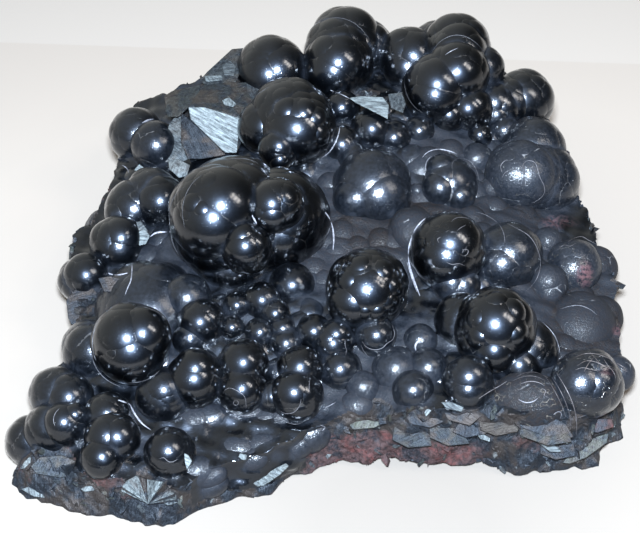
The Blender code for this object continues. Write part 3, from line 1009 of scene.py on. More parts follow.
def broken_material():
    """Fractured iron oxide: dark gunmetal, fibrous, with a painted glint (a pale colour standing for the flash's
    reflection) on some facets, and a red-brown layer."""
    m = Nodes("broken_surface")
    at = m.place()
    red, glint_tone, green, rnd = m.attribute("grow")
    turned = m.put("ShaderNodeVectorRotate", rotation_type="AXIS_ANGLE")
    m.tree.links.new(at, turned.inputs["Vector"])
    turned.inputs["Axis"].default_value = (0.0, -0.68, 0.73)
    m.link(m.math("MULTIPLY", rnd, 3.14), turned.inputs["Angle"])
    stretch = m.put("ShaderNodeMapping")
    m.tree.links.new(turned.outputs[0], stretch.inputs["Vector"])
    stretch.inputs["Scale"].default_value = (0.16, 1.5, 1.1)
    fibre = m.noise(stretch.outputs[0], 1.5, 5.0, 0.7)
    grain = m.noise(at, 0.9, 4.0, 0.6)
    patch = m.noise(at, 0.16, 3.0, 0.6, 0.5)
    dark = m.mix(m.ramp(fibre, 0.30, 0.72), (0.005, 0.006, 0.0085), (0.019, 0.023, 0.029))
    dark = m.mix(m.ramp(patch, 0.42, 0.62), dark, m.mix(grain, (0.015, 0.0125, 0.0115), (0.036, 0.030, 0.028)))
    # painted glint: this pale fibrous colour stands for the flash's reflection on facets, laid on by each piece's glint
    # tone
    painted_glint = m.mix(m.ramp(fibre, 0.32, 0.66), (0.020, 0.024, 0.027), (0.125, 0.142, 0.146))
    glint_tone = m.math("MULTIPLY", glint_tone, m.ramp(grain, 0.30, 0.60, 0.75, 1.08))
    colour = m.mix(m.ramp(glint_tone, 0.15, 1.0, smooth=False), dark, painted_glint)
    colour = m.mix(m.math("MULTIPLY", green, m.ramp(grain, 0.35, 0.6)), colour, (0.046, 0.050, 0.036))
    rust = m.math("MULTIPLY", m.ramp(m.math("ADD", patch, m.math("MULTIPLY", grain, 0.35)), 0.52, 0.72), red, clamp=True)
    rust = m.math("ADD", rust, m.math("MULTIPLY", red, 0.25), clamp=True)
    colour = m.mix(rust, colour, m.mix(m.ramp(grain, 0.35, 0.65), (0.014, 0.0075, 0.0075), m.mix(m.ramp(patch, 0.50, 0.62), (0.034, 0.020, 0.020), (0.048, 0.017, 0.016))))
    rough = m.math("ADD", m.ramp(rust, 0, 1, 0.42, 0.70), m.math("MULTIPLY", m.math("SUBTRACT", grain, 0.5), 0.30))
    rough = m.math("ADD", rough, m.math("MULTIPLY", glint_tone, 0.10))
    metal = m.math("MULTIPLY", m.ramp(rust, 0, 1, 0.50, 0.05), m.ramp(glint_tone, 0.2, 1.0, 1.0, 0.4))
    m.set(Base_Color=colour, Metallic=metal, Roughness=rough, Specular_IOR_Level=0.15)
    b = m.bump(fibre, 0.00045, 0.8)
    b = m.bump(grain, 0.0004, 0.6, b)
    m.set(Normal=b)
    return m.material


# ================================================================= build
S = surface()
own, own_head, info = S["own"], S["own_head"], S["info"]
n_named = len(HEADS) + len(RIM_HEADS)
mid = S["points"][S["quads"]].mean(1)
_, t_top, t_side, t_under, t_broken = plate(*mid.T, parts=True)
is_plate = own == 0
under = is_plate & (mid[:, 2] < 0.05)
rock = is_plate & ~under & ((t_side > t_top - 0.3) | (t_under > t_top) | (t_broken > 0.35))
rock &= ~((slope(mid[:, 0], mid[:, 1]) > 0.5) & (mid[:, 2] > 2.6))
crust = (is_plate & ~under & ~rock) | (~is_plate & (own_head >= n_named))
heads = ~is_plate & (own_head < n_named)

dull_head = np.concatenate([info[:, 0], [0.0]])           # last entry: bare plate
dull = np.where(is_plate, dusty(mid[:, 0], mid[:, 1]), dull_head[own_head])
dull = np.repeat(dull, 4)
rng = np.random.default_rng(3)
head_rnd = np.repeat(np.concatenate([rng.random(len(info)), [0.5]])[own_head], 4)
grow = np.stack([dull, S["lobe"], S["head"], head_rnd], 1)
flaky = np.zeros(len(info) + 1)
for i, h in enumerate(HEADS):
    if h[0] in ("T", "U", "V"):
        flaky[i] = 0.5
    elif h[0] in ("J", "P", "Q"):
        flaky[i] = 0.2
pale_of = np.clip(0.35 + 0.6 * np.concatenate([rng.random(len(info)), [0.5]]), 0, 1)
stained = np.zeros(len(mid))
for u, v, wide, high in ((585, 274, 10, 15), (560, 222, 22, 8), (608, 372, 10, 5), (617, 330, 6, 8)):
    mu, mv = in_view(mid)
    stained = np.maximum(stained, np.clip(1.6 - 1.6 * np.hypot((mu - u) / wide, (mv - v) / high), 0, 1) * (mid[:, 0] > 30) * (1.0 if u == 585 else 0.5))
mark = np.stack([np.repeat(flaky[own_head], 4), np.repeat(pale_of[own_head], 4),
                 np.repeat(stained, 4), np.ones(len(dull))], 1)
grown, shattered = grown_material(), broken_material()
cy = info[:, 2]
head_y = np.concatenate([cy, [0.0]])[own_head]
# the red-brown layer runs low along the front, right of the middle
def red_layer(p):
    u, _ = in_view(p)
    along = np.clip((u - 300.0) / 12.0, 0, 1) * np.clip((492.0 - u) / 18.0, 0, 1)
    over = 9.5 + 1.3 * np.sin(p[:, 0] / 6.0) + 0.7 * np.sin(p[:, 0] / 2.3 + 1.0)
    band = np.clip((over - p[:, 2]) / 1.2, 0, 1)
    spots = 0.45 * ((np.sin(p[:, 0] / 7.0 + p[:, 1] / 9.0) * np.sin(p[:, 2] / 3.0 + p[:, 0] / 11.0)) > 0.72)
    return np.maximum(along * band * (p[:, 1] < -10), spots)


rock_attr = np.stack([np.repeat(red_layer(mid), 4), np.zeros(len(dull)), np.zeros(len(dull)), head_rnd], 1)
make_piece("heads_back", S, np.flatnonzero(heads & (head_y >= 0)), {"grow": grow, "mark": mark}, grown)
make_piece("heads_front", S, np.flatnonzero(heads & (head_y < 0)), {"grow": grow, "mark": mark}, grown)
make_piece("crust", S, np.flatnonzero(crust), {"grow": grow, "mark": mark}, grown)
make_piece("broken_edges", S, np.flatnonzero(rock), {"grow": rock_attr}, shattered)
make_piece("underside", S, np.flatnonzero(under), {"grow": rock_attr}, shattered)

# ================================================= broken blocks and shards
from mathutils.bvhtree import BVHTree

SURFACE_TREE = BVHTree.FromPolygons(S["points"].tolist(), S["quads"].tolist())
V_EYE = Vector(EYE)


def hit(u, v):
    """Where the sight line through a place in the view meets the surface."""
    d = sight(u, v)
    place, normal, _, _ = SURFACE_TREE.ray_cast(V_EYE, Vector(d / np.linalg.norm(d)))
    if place is None:
        return None
    return np.array(place), np.array(normal)


def at_depth(u, v, depth):
    return EYE + sight(u, v) * depth


class Solids:
    """Convex solids gathered into one mesh, each with its own red, painted glint brightness and green."""

    def __init__(self):
        self.bm = bmesh.new()
        self.layer = self.bm.loops.layers.float_color.new("grow")
        self.rng = np.random.default_rng(17)

    def hull(self, pts, red=0.0, glint_tone=0.0, green=0.0, chamfer=0.15):
        bm = bmesh.new()
        for q in pts:
            bm.verts.new(Vector(q) * 0.001)
        bmesh.ops.convex_hull(bm, input=list(bm.verts), use_existing_faces=False)
        bmesh.ops.delete(bm, geom=[v for v in bm.verts if not v.link_faces], context="VERTS")
        bmesh.ops.dissolve_limit(bm, angle_limit=math.radians(4), verts=list(bm.verts), edges=list(bm.edges))
        if chamfer:
            bmesh.ops.bevel(bm, geom=list(bm.edges), offset=chamfer * 0.001, segments=1, affect="EDGES", clamp_overlap=True)
        bmesh.ops.dissolve_degenerate(bm, dist=2e-6, edges=list(bm.edges))
        bmesh.ops.triangulate(bm, faces=list(bm.faces))
        bmesh.ops.dissolve_degenerate(bm, dist=2e-6, edges=list(bm.edges))
        rnd = float(self.rng.random())
        new = [self.bm.verts.new(v.co) for v in bm.verts]
        bm.verts.index_update()
        for f in bm.faces:
            try:
                g = self.bm.faces.new([new[v.index] for v in f.verts])
            except ValueError:
                continue
            for loop in g.loops:
                loop[self.layer] = (red, glint_tone, green, rnd)
        bm.free()

    def finish(self, name, material):
        mesh = bpy.data.meshes.new(name)
        bmesh.ops.recalc_face_normals(self.bm, faces=list(self.bm.faces))
        self.bm.to_mesh(mesh)
        self.bm.free()
        obj = bpy.data.objects.new(name, mesh)
        bpy.context.scene.collection.objects.link(obj)
        mesh.materials.append(material)
        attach(obj, "root")
        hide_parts("hematite")
        print("piece", name, len(mesh.vertices), "points", len(mesh.polygons), "faces")
        return obj


# place that the depth is read at; corners (u, v, millimetres behind that
# depth); how far the block goes in; red, painted glint brightness, green
BLOCKS = (
    # the broken block on the upper left
    ((222, 156), ((188, 106, -1.6), (215, 110, -1.6), (241, 117, -1.6), (262, 100, 3), (258, 83, 7), (232, 82, 6.5), (204, 85, 5.5),
                  (197, 95, 3), (236, 154, -1.4), (208, 136, -1.4), (190, 120, -1.4)), 12, .02, .12, .15),
    # the facet that faces the flash, painted bright as its glint
    ((222, 156), ((188, 107, -2.3), (204, 107, -2.3), (222, 112, -2.3), (240, 118, -2.2), (238, 136, -2.2), (237, 153, -2.3),
                  (225, 153, -2.3), (207, 135, -2.3), (191, 120, -2.3)), 1.6, 0, 1.0, 0),
    ((222, 156), ((222, 100, 0.4), (229, 97, 1.2), (237, 104, .4), (233, 107, -.6), (224, 105, 0)), 1.2, 0, .9, 0),
    ((222, 156), ((181, 112, .4), (190, 120, -1.4), (208, 136, -1.8), (226, 155, -2.4), (201, 159, -3.6), (188, 159, -3.6), (181, 142, -2.4)),
     12, 0, .16, 0),
    ((176, 150), ((169, 124, 0), (182, 108, .6), (184, 126, -1.0), (184, 150, -2.0), (191, 164, -2.2), (164, 162, -1.2), (161, 150, -.6)),
     11, 0, .46, 0),
    ((222, 156), ((165, 112, 4), (168, 97, 7), (177, 92, 8), (186, 88, 8), (200, 85, 7), (199, 100, 2.5), (188, 107, 0), (178, 117, .5), (168, 117, 3)),
     7, .02, .24, .2),
    ((222, 156), ((164, 96, 7), (172, 91, 8), (187, 87, 8.4), (190, 95, 6), (176, 105, 5), (166, 107, 6)), 5, .02, .15, .2),
    ((222, 156), ((168, 160, -3.2), (178, 159, -3.2), (190, 165, -4.0), (187, 176, -4.6), (179, 178, -4.6), (169, 169, -4.2)), 4, 0, .62, 0),
    ((222, 156), ((200, 80, 7.5), (207, 72, 9), (216, 64, 11), (232, 49, 15), (243, 48, 15), (244, 64, 12), (236, 82, 7), (206, 86, 6)),
     5, 0, .24, .1),
    ((222, 156), ((222, 66, 10.4), (230, 60, 12.0), (236, 66, 10.6), (234, 76, 8.0), (224, 75, 8.4)), 1.5, 0, .55, 0),
    ((222, 156), ((204, 76, 7.6), (222, 75, 7.8), (223, 80, 6.6), (206, 82, 6.4)), 1.2, 0, .8, 0),
    ((222, 156), ((238, 84, 6.6), (252, 80, 7.4), (262, 88, 5.8), (256, 100, 2.6), (243, 104, 1.6), (236, 94, 4)), 2, 0, .30, 0),
    # chips between the two balls on the left and beside them
    ((141, 168), ((134, 170, -.6), (139, 164, -.6), (145, 168, -.8), (141, 173, -.9)), 2, 0, .9, 0),
    ((141, 236), ((138, 232, -.4), (144, 228, -.4), (150, 236, -.8), (146, 244, -1.0), (139, 246, -.8)), 2, 0, .85, 0),
    ((141, 236), ((136, 222, .4), (141, 221, .2), (148, 231, -.4), (144, 235, -.6), (138, 230, -.2)), 2, 0, .5, 0),
    # the block behind the middle
    ((370, 120), ((349, 98, 2.2), (358, 96, 2.6), (371, 99, 2.0), (383, 97, 2.4), (389, 105, .6), (388, 119, -2.2), (378, 112, -1),
                  (368, 106, .6), (356, 103, 1.4)), 3, 0, .95, 0),
    ((370, 120), ((388, 94, 3), (402, 92, 3.4), (406, 104, .8), (403, 113, -1.2), (391, 108, .4)), 3, 0, .42, 0),
    # the fractured front
    ((375, 424), ((349, 425, .2), (360, 417, .2), (376, 413, .4), (400, 408, .4), (402, 416, -.6), (386, 421, -.8), (374, 428, -1.0), (353, 430, -.8)),
     3, 0, .38, .5),
    ((378, 418), ((378, 418, -1.4), (386, 417, -1.4), (387, 424, -1.8), (379, 425, -1.8)), 1, 0, .1, 0),
    ((270, 476), ((252, 483, -.6), (257, 487, -.8), (264, 486, -.9), (280, 475, -.8), (289, 466, -.7), (286, 463, -.4), (268, 472, -.4)), 2, 0, .72, .1),
    ((188, 462), ((184, 453, -.8), (188, 455, -1.0), (192, 461, -1.0), (187, 470, -.9), (185, 463, -.9)), 2, 0, 1.0, 0),
    ((245, 456), ((236, 461, -.2), (240, 453, -.2), (247, 455, -.5), (246, 460, -.7)), 1.5, 0, .8, 0),
    ((585, 450), ((562, 463, -.8), (573, 449, -.4), (598, 436, -.4), (609, 433, -.4), (607, 443, -.9), (586, 458, -1.2), (570, 464, -1.2)), 4, 0, .26, .3),
    ((596, 426), ((580, 424, -.4), (590, 418, -.4), (612, 419, -.4), (614, 427, -.9), (598, 433, -1.1), (583, 431, -.9)), 3, 1.0, .15, 0),
    ((500, 424), ((478, 412, 1.2), (492, 404, 2.0), (512, 403, 2.0), (522, 412, .4), (518, 432, -1.4), (496, 436, -1.6), (480, 430, -.8)), 9, 0, .12, .1),
    ((540, 430), ((514, 406, 1.6), (532, 410, 1.0), (552, 418, .2), (568, 430, -.8), (572, 442, -1.8), (548, 446, -1.8), (520, 436, -1.2)), 9, 0, .10, .15),
    ((560, 446), ((540, 438, -.2), (556, 442, -.4), (574, 440, -.2), (576, 456, -1.6), (556, 460, -1.8), (540, 454, -1.4)), 6, 0, .14, 0),
    ((460, 412), ((440, 404, .6), (452, 401, .8), (468, 406, .6), (482, 416, -.2), (470, 426, -1.0), (448, 420, -.6)), 7, 0, .16, 0),
    ((448, 430), ((428, 418, .4), (446, 420, .2), (462, 430, -.4), (470, 444, -1.4), (448, 446, -1.4), (430, 438, -.8)), 6, 0, .08, .1),
    ((410, 436), ((394, 426, .2), (412, 424, .2), (430, 434, -.2), (432, 446, -1.0), (408, 448, -1.0), (392, 440, -.6)), 5, 0, .10, .1),
    ((556, 436), ((538, 428, -2.2), (544, 427, -2.2), (562, 434, -2.4), (570, 440, -2.6), (568, 444, -2.8), (552, 438, -2.6)), 2, 0, .95, 0),
    ((548, 446), ((536, 441, -2.2), (544, 441, -2.2), (558, 447, -2.6), (562, 452, -2.8), (550, 452, -2.8)), 2, 0, .70, 0),
    ((484, 436), ((474, 430, -1.6), (480, 432, -1.6), (490, 438, -1.9), (490, 442, -2.1), (480, 439, -2.0)), 2, 0, .85, 0),
    ((452, 406), ((441, 402, -.6), (452, 402, -.6), (464, 407, -.8), (462, 412, -1.2), (446, 409, -1.0)), 2, 0, .55, 0),
    ((430, 414), ((424, 412, -.6), (430, 406, -.6), (433, 409, -.7), (426, 417, -1.0)), 1.5, 0, .85, 0),
    ((545, 428), ((514, 420, -.4), (530, 412, -.2), (552, 416, -.3), (566, 424, -.5), (574, 437, -1.0), (560, 442, -1.2), (541, 433, -1.1), (522, 428, -.9)),
     4, 0, .10, 0),
    ((470, 428), ((452, 432, -.8), (460, 421, -.4), (478, 418, -.3), (492, 424, -.6), (486, 434, -1.0), (466, 438, -1.1)), 4, 0, .08, 0),
    ((425, 424), ((404, 414, .0), (418, 408, .2), (436, 412, -.1), (444, 422, -.6), (430, 428, -1.0), (410, 424, -.8)), 4, 0, .08, 0),
    ((386, 464), ((379, 463, -.4), (384, 461, -.4), (393, 461, -.5), (391, 466, -.7), (382, 466, -.7)), 1.5, 0, 1.0, 0),
    ((360, 466), ((356, 465, -.3), (365, 464, -.3), (363, 469, -.5), (358, 469, -.5)), 1.5, 0, .8, 0),
    ((290, 484), ((287, 486, -.4), (291, 479, -.4), (294, 481, -.5), (292, 488, -.6)), 1.5, 0, .9, 0),
    ((92, 488), ((80, 489, -.5), (86, 486, -.5), (96, 486, -.6), (94, 491, -.8), (84, 492, -.8)), 1.5, 0, .85, 0),
    ((32, 492), ((20, 489, -.4), (28, 487, -.4), (42, 492, -.6), (45, 498, -.8), (34, 497, -.8)), 2, 0, .62, 0),
    ((50, 468), ((30, 466, -.2), (40, 457, .0), (62, 455, .0), (78, 462, -.2), (84, 474, -.6), (60, 478, -.8), (36, 474, -.6)), 3, 0, .05, .1),
    ((168, 496), ((160, 488, -.6), (167, 484, -.6), (176, 495, -.9), (178, 503, -1.1), (168, 506, -1.1), (158, 500, -.9)), 3, 0, .40, 0),
    ((28, 462), ((20, 469, -.4), (24, 462, -.4), (31, 455, -.3), (38, 453, -.3), (37, 457, -.6), (30, 463, -.7), (24, 469, -.7)), 1.5, 0, .80, 0),
    # flat broken places at the left edge
    ((80, 300), ((66, 300, .6), (76, 288, 1.6), (96, 290, 1.0), (104, 304, -.2), (98, 322, -1.6), (74, 330, -2), (68, 318, -1)), 5, 0, .06, 0),
    ((112, 284), ((98, 278, -.2), (110, 276, -.4), (124, 280, -.6), (120, 292, -1.2), (104, 292, -1.0)), 3, 0, .10, 0),
)


def make_blocks(material):
    solids = Solids()
    for ref, corners, go_in, red, glint_tone, green in BLOCKS:
        h = hit(*ref)
        if h is None:
            continue
        depth = depth_of(h[0])
        pts = [at_depth(u, v, depth + dd) for u, v, dd in corners]
        middle = np.mean(pts, 0)
        back = [p + AHEAD * go_in + (middle - p) * 0.12 for p in pts]
        solids.hull(pts + back, red, glint_tone, green)
    # the rock that carries the broken block on the upper left
    depth, beside = depth_of(hit(222, 156)[0]), depth_of(hit(176, 150)[0])
    for corners in (((168, 156, 2.0 + beside - depth), (188, 160, 2.0 + beside - depth), (186, 126, 4.0 + beside - depth), (172, 116, 5.0 + beside - depth)),
                    ((190, 160, 0.5), (222, 152, 0.8), (238, 150, 1.0), (240, 118, 4.0), (190, 112, 4.0)),
                    ((170, 112, 6.0), (200, 92, 8.5), (240, 88, 9.0), (236, 66, 13.0), (206, 82, 10.0), (186, 92, 9.5))):
        pts = [at_depth(u, v, depth + dd) for u, v, dd in corners]
        feet = [np.array([p[0], p[1] + 1.5, min(float(top_level(p[0], p[1])) - 4.0, p[2] - 2.0)]) for p in pts]
        solids.hull(pts + feet, 0.05, 0.05, 0.1, 0.5)
    # rays of the radiating fan, each one a narrow wedge with its own tilt and its own painted glint brightness
    h = hit(148, 492)
    depth = depth_of(h[0]) - 2.0
    rng = np.random.default_rng(23)
    rim = ((121, 491), (123, 485), (128, 480), (136, 476), (143, 478), (149, 480), (156, 481), (163, 482), (168, 487), (174, 494), (178, 502))
    glint_tones = (.8, 1., .55, .15, .35, .95, 1., .25, .4, .3)
    for (a, b), glint_tone in zip(zip(rim, rim[1:]), glint_tones):
        for k in range(3):
            q = [np.array(a) + (np.array(b) - np.array(a)) * t for t in (k / 3, (k + 1) / 3)]
            tip = np.array((148.0, 504.0))
            t1, t2 = rng.normal(size=2) * 0.35
            pts = [at_depth(*tip, depth + 0.2), at_depth(*q[0], depth + t1), at_depth(*q[1], depth + t2)]
            pts += [p + AHEAD * 4.5 for p in pts]
            solids.hull(pts, 0, min(1, max(0, glint_tone + rng.normal() * 0.2)), 0, 0.04)
    solids.finish("broken_blocks", material)


def make_shards(material):
    """Small cleavage pieces standing on the broken faces."""
    solids = Solids()
    rng = np.random.default_rng(29)
    places = np.flatnonzero(rock)
    lit = mid[places, 2] > 1.2
    places = places[lit]
    pick = rng.choice(len(places), size=min(1500, len(places)), replace=False)
    normals = plate_gradient(mid[places[pick]])
    red = red_layer(mid[places[pick]])
    for p, n, r in zip(mid[places[pick]], normals, red):
        size = 0.5 + 1.1 * rng.random() ** 2
        n = n + rng.normal(size=3) * 0.35
        n /= np.linalg.norm(n)
        t = np.cross(n, rng.normal(size=3))
        t /= np.linalg.norm(t)
        b = np.cross(n, t)
        long, wide = size * (0.8 + rng.random()), size * (0.25 + 0.45 * rng.random())
        k = rng.integers(4, 6)
        a0 = rng.random() * 6.28
        ring = [p + n * (0.16 + 0.1 * rng.random()) * size + (t * math.cos(a) * long + b * math.sin(a) * wide) * (0.8 + 0.35 * rng.random())
                for a in a0 + np.arange(k) * 2 * math.pi / k]
        foot = [q - n * 0.9 * size + (p - q) * 0.1 for q in ring]
        # a random painted glint brightness, mostly dark
        glint_tone = rng.random() ** 3 * 0.5
        if min(q[2] for q in ring + foot) < 0.05:
            continue
        solids.hull(ring + foot, float(r) if rng.random() < 0.8 else 0.0, glint_tone, 0.3 * (rng.random() < 0.15), 0)
    solids.finish("shards", material)


make_blocks(shattered)
make_shards(shattered)


# ============================================== edges of thin outer shells
# Lines in the view, set down on the surface: width in millimetres, how pale (the high values paint the flash's
# highlight along broken shell edges, the low ones are dim grey flake outlines), how brown, and the points.
RIMS = (
    (.55, 1, 0, ((427, 217), (420, 223), (414, 231), (410, 242), (408, 254), (409, 264), (412, 275), (416, 286), (420, 296))),
    (.32, .8, 0, ((407, 262), (410, 272), (414, 284), (417, 292))),
    (.55, 1, 0, ((416, 351), (415, 346), (417, 342), (421, 340), (424, 339))),
    (.48, 1, 0, ((325, 212), (330, 219), (333, 228), (334, 240), (333, 250))),
    (.48, 1, 0, ((118, 400), (124, 402), (130, 404), (132, 409), (136, 416), (142, 424), (151, 430))),
    (.50, 1, 0, ((108, 273), (113, 275), (120, 275), (128, 273))),
    (.35, .8, 0, ((132, 262), (132, 272), (131, 281), (128, 287), (125, 295))),
    (.65, 1, 0, ((150, 237), (155, 233), (161, 232), (167, 232))),
    (.40, .8, 0, ((340, 125), (339, 134), (334, 146), (328, 154), (321, 158))),
    (.28, .6, 0, ((330, 90), (338, 93), (345, 96), (350, 99))),
    (.38, .8, 0, ((422, 158), (426, 153), (432, 150), (440, 149), (450, 151), (457, 154))),
    (.28, .6, 0, ((445, 55), (451, 51), (458, 48))),
    (.35, .7, 0, ((122, 165), (127, 168), (129, 173))),
    (.50, .7, 0, ((142, 123), (148, 120), (154, 119))),
    (.55, 1, 0, ((252, 215), (254, 219), (257, 224))),
    (.26, .5, 0, ((541, 321), (549, 328), (555, 336), (559, 346), (560, 355))),
    (.22, .4, 0, ((560, 309), (570, 306), (580, 305), (590, 309), (597, 315))),
    (.26, .5, .5, ((478, 399), (484, 395), (492, 390), (500, 386), (507, 381))),
    (.22, .4, .5, ((520, 384), (529, 381), (538, 382), (545, 386))),
    (.26, .4, .5, ((556, 372), (563, 383), (570, 396), (575, 410), (577, 424), (576, 436))),
    (.20, .3, .5, ((550, 375), (558, 386), (565, 400), (570, 415), (571, 430))),
    (.16, .3, .5, ((545, 376), (553, 388), (560, 401), (565, 414), (567, 426))),
    (.15, .3, .5, ((516, 377), (526, 372), (537, 372), (548, 378))),
    (.15, .25, .5, ((512, 381), (524, 376), (536, 376), (546, 381))),
    (.28, .7, 0, ((518, 399), (525, 403), (533, 402), (538, 398))),
    (.18, .4, .5, ((541, 388), (547, 391), (543, 395), (549, 398))),
    (.26, .5, 0, ((553, 415), (558, 411), (562, 413), (560, 419))),
    (.16, .35, .3, ((451, 222), (455, 218), (462, 217), (470, 219))),
    (.15, .35, .3, ((466, 225), (460, 228), (457, 231))),
    (.15, .35, .3, ((439, 243), (437, 239), (441, 237))),
    (.16, .4, .3, ((462, 253), (464, 249), (469, 250), (467, 255), (463, 256))),
    (.16, .35, .3, ((446, 262), (452, 265), (459, 263), (465, 266))),
    (.20, .35, .1, ((476, 212), (484, 214), (493, 219), (500, 225), (504, 233), (505, 243))),
    (.20, .35, .3, ((505, 222), (516, 228), (526, 233), (533, 240), (538, 250), (541, 262), (539, 275), (533, 285), (526, 291))),
    (.22, .4, .3, ((502, 172), (500, 166), (504, 161), (508, 160))),
    (.20, .4, .3, ((522, 168), (524, 162), (530, 160), (536, 163), (538, 171), (540, 178), (544, 185), (545, 193), (540, 199), (531, 204))),
    (.18, .3, .3, ((502, 178), (505, 172), (510, 170))),
    (.28, .5, 0, ((426, 179), (425, 168), (427, 160), (432, 156))),
    (.16, .25, 0, ((452, 170), (452, 162), (458, 158), (470, 160), (477, 170), (480, 185))),
    (.15, .45, .2, ((223, 392), (229, 387), (238, 391), (245, 396), (246, 403), (246, 409))),
    (.14, .4, .2, ((236, 400), (239, 402), (237, 406), (233, 404), (234, 401), (236, 400))),
    (.20, .35, .1, ((222, 405), (232, 413), (243, 416), (253, 415), (262, 410))),
    (.15, .4, .2, ((310, 378), (309, 386), (309, 393))),
    (.17, .4, .2, ((301, 399), (300, 406), (294, 413), (285, 414), (280, 411))),
    (.20, .2, .1, ((275, 415), (285, 422), (296, 425), (303, 422))),
    (.18, .45, .2, ((392, 325), (395, 333), (393, 340), (387, 343), (383, 348), (376, 350), (370, 349), (365, 346), (362, 341))),
    (.15, .35, .2, ((361, 345), (364, 352), (370, 358))),
    (.17, .4, .2, ((345, 340), (345, 346), (347, 351), (345, 356))),
    (.20, .35, 0, ((99, 318), (94, 330), (92, 342), (93, 352), (96, 361))),
    (.22, .35, 0, ((92, 350), (93, 362), (99, 373), (109, 382), (121, 387))),
    (.18, .3, 0, ((128, 383), (142, 382), (153, 377), (160, 370))),
    (.12, .2, .3, ((140, 305), (148, 308), (158, 312), (165, 318))),
    (.18, .4, 0, ((60, 408), (55, 413), (53, 420), (55, 426))),
    (.15, .4, .1, ((159, 459), (164, 457), (168, 462), (173, 462), (178, 459))),
    (.15, .25, 0, ((186, 186), (177, 192), (171, 203), (169, 215), (170, 230), (173, 245), (180, 257))),
    (.15, .22, 0, ((203, 174), (194, 181), (187, 191), (183, 203), (182, 215), (185, 228))),
    (.15, .2, 0, ((230, 159), (245, 158), (258, 163))),
    (.15, .25, 0, ((304, 40), (311, 28), (321, 20), (335, 17), (350, 20), (362, 29), (370, 40))),
    (.14, .22, 0, ((241, 118), (247, 105), (258, 94), (270, 86))),
    (.14, .22, 0, ((404, 80), (406, 94), (413, 106), (424, 114))),
    (.15, .25, 0, ((429, 60), (435, 46), (446, 37), (460, 34), (475, 41), (484, 52))),
    (.18, .4, .9, ((574, 358), (582, 354), (592, 353), (604, 356), (615, 362), (625, 368))),
    (.18, .4, .9, ((577, 366), (586, 360), (597, 362), (607, 368), (617, 370))),
    (.16, .4, .9, ((590, 352), (596, 359), (601, 365), (612, 367))),
    (.18, .4, .8, ((604, 352), (611, 360), (618, 368), (628, 372))),
    (.16, .4, .8, ((575, 370), (583, 367), (592, 370), (601, 371))),
    (.16, .4, .8, ((616, 380), (614, 372), (608, 366), (603, 358))),
    (.18, .4, .9, ((584, 372), (588, 364), (594, 357))),
    (.16, .35, .5, ((568, 242), (574, 238), (582, 236), (588, 240), (596, 244))),
    (.16, .35, .5, ((558, 250), (564, 244), (570, 247), (576, 243))),
    (.30, .6, 0, ((320, 425), (326, 427), (322, 431))),
    (.20, .5, 0, ((325, 408), (331, 405), (336, 402))),
)


def smooth_line(points, step=0.7):
    """Points along a rounded line, evenly spaced."""
    q = np.array(points, float)
    for _ in range(3):
        a, b = q[:-1], q[1:]
        q = np.concatenate([q[:1], np.stack([0.75 * a + 0.25 * b, 0.25 * a + 0.75 * b], 1).reshape(-1, 2), q[-1:]])
    d = np.concatenate([[0], np.cumsum(np.linalg.norm(np.diff(q, axis=0), axis=1))])
    n = max(int(d[-1] / step), 3)
    at = np.linspace(0, d[-1], n + 1)
    return np.stack([np.interp(at, d, q[:, 0]), np.interp(at, d, q[:, 1])], 1)


def make_rims(material):
    bm = bmesh.new()
    layer = bm.loops.layers.float_color.new("grow")
    rng = np.random.default_rng(41)
    for width, pale, brown, line in RIMS:
        runs, run, last = [], [], None
        for u, v in smooth_line(line):
            h = hit(u, v)
            if h is None:
                last = None
                runs.append(run)
                run = []
                continue
            depth = depth_of(h[0])
            if last is not None and abs(depth - last) > 1.5:
                runs.append(run)
                run = []
            last = depth
            run.append((u, v, depth, h[1]))
        runs.append(run)
        for run in runs:
            if len(run) < 5:
                continue
            n = len(run)
            depth = np.array([r[2] for r in run])
            kernel = np.array([1, 2, 3, 2, 1]) / 9
            depth = np.convolve(np.pad(depth, 2, mode="edge"), kernel, mode="valid")
            normal = np.array([r[3] for r in run])
            normal = np.stack([np.convolve(np.pad(normal[:, k], 3, mode="edge"), np.ones(7) / 7, mode="valid") for k in range(3)], 1)
            pts = np.array([at_depth(r[0], r[1], d) for r, d in zip(run, depth)])
            tangent = np.gradient(pts, axis=0)
            tangent /= np.linalg.norm(tangent, axis=1)[:, None]
            normal -= tangent * (normal * tangent).sum(1)[:, None]
            normal /= np.linalg.norm(normal, axis=1)[:, None]
            side = np.cross(tangent, normal)
            rings = []
            for i in range(n):
                t = i / (n - 1)
                w = width * 0.5 * max(0.12, min(1.0, math.sin(math.pi * t) ** 0.6)) * (0.85 + 0.3 * rng.random())
                ring = []
                for a in (0, 45, 90, 135, 180, 270):
                    a = math.radians(a)
                    q = pts[i] + side[i] * math.cos(a) * w + normal[i] * (math.sin(a) * w * 0.75 + 0.02)
                    ring.append(bm.verts.new(q * 0.001))
                rings.append(ring)
            faces = []
            for a, b in zip(rings, rings[1:]):
                for k in range(6):
                    faces.append(bm.faces.new((a[k], b[k], b[(k + 1) % 6], a[(k + 1) % 6])))
            faces.append(bm.faces.new(rings[0]))
            faces.append(bm.faces.new(rings[-1][::-1]))
            for f in faces:
                f.smooth = True
                for loop in f.loops:
                    loop[layer] = (pale, brown, 0, 1)
    bmesh.ops.recalc_face_normals(bm, faces=list(bm.faces))
    mesh = bpy.data.meshes.new("shell_rims")
    bm.to_mesh(mesh)
    bm.free()
    obj = bpy.data.objects.new("shell_rims", mesh)
    bpy.context.scene.collection.objects.link(obj)
    mesh.materials.append(material)
    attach(obj, "root")
    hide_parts("hematite")
    print("piece shell_rims", len(mesh.vertices), "points", len(mesh.polygons), "faces")


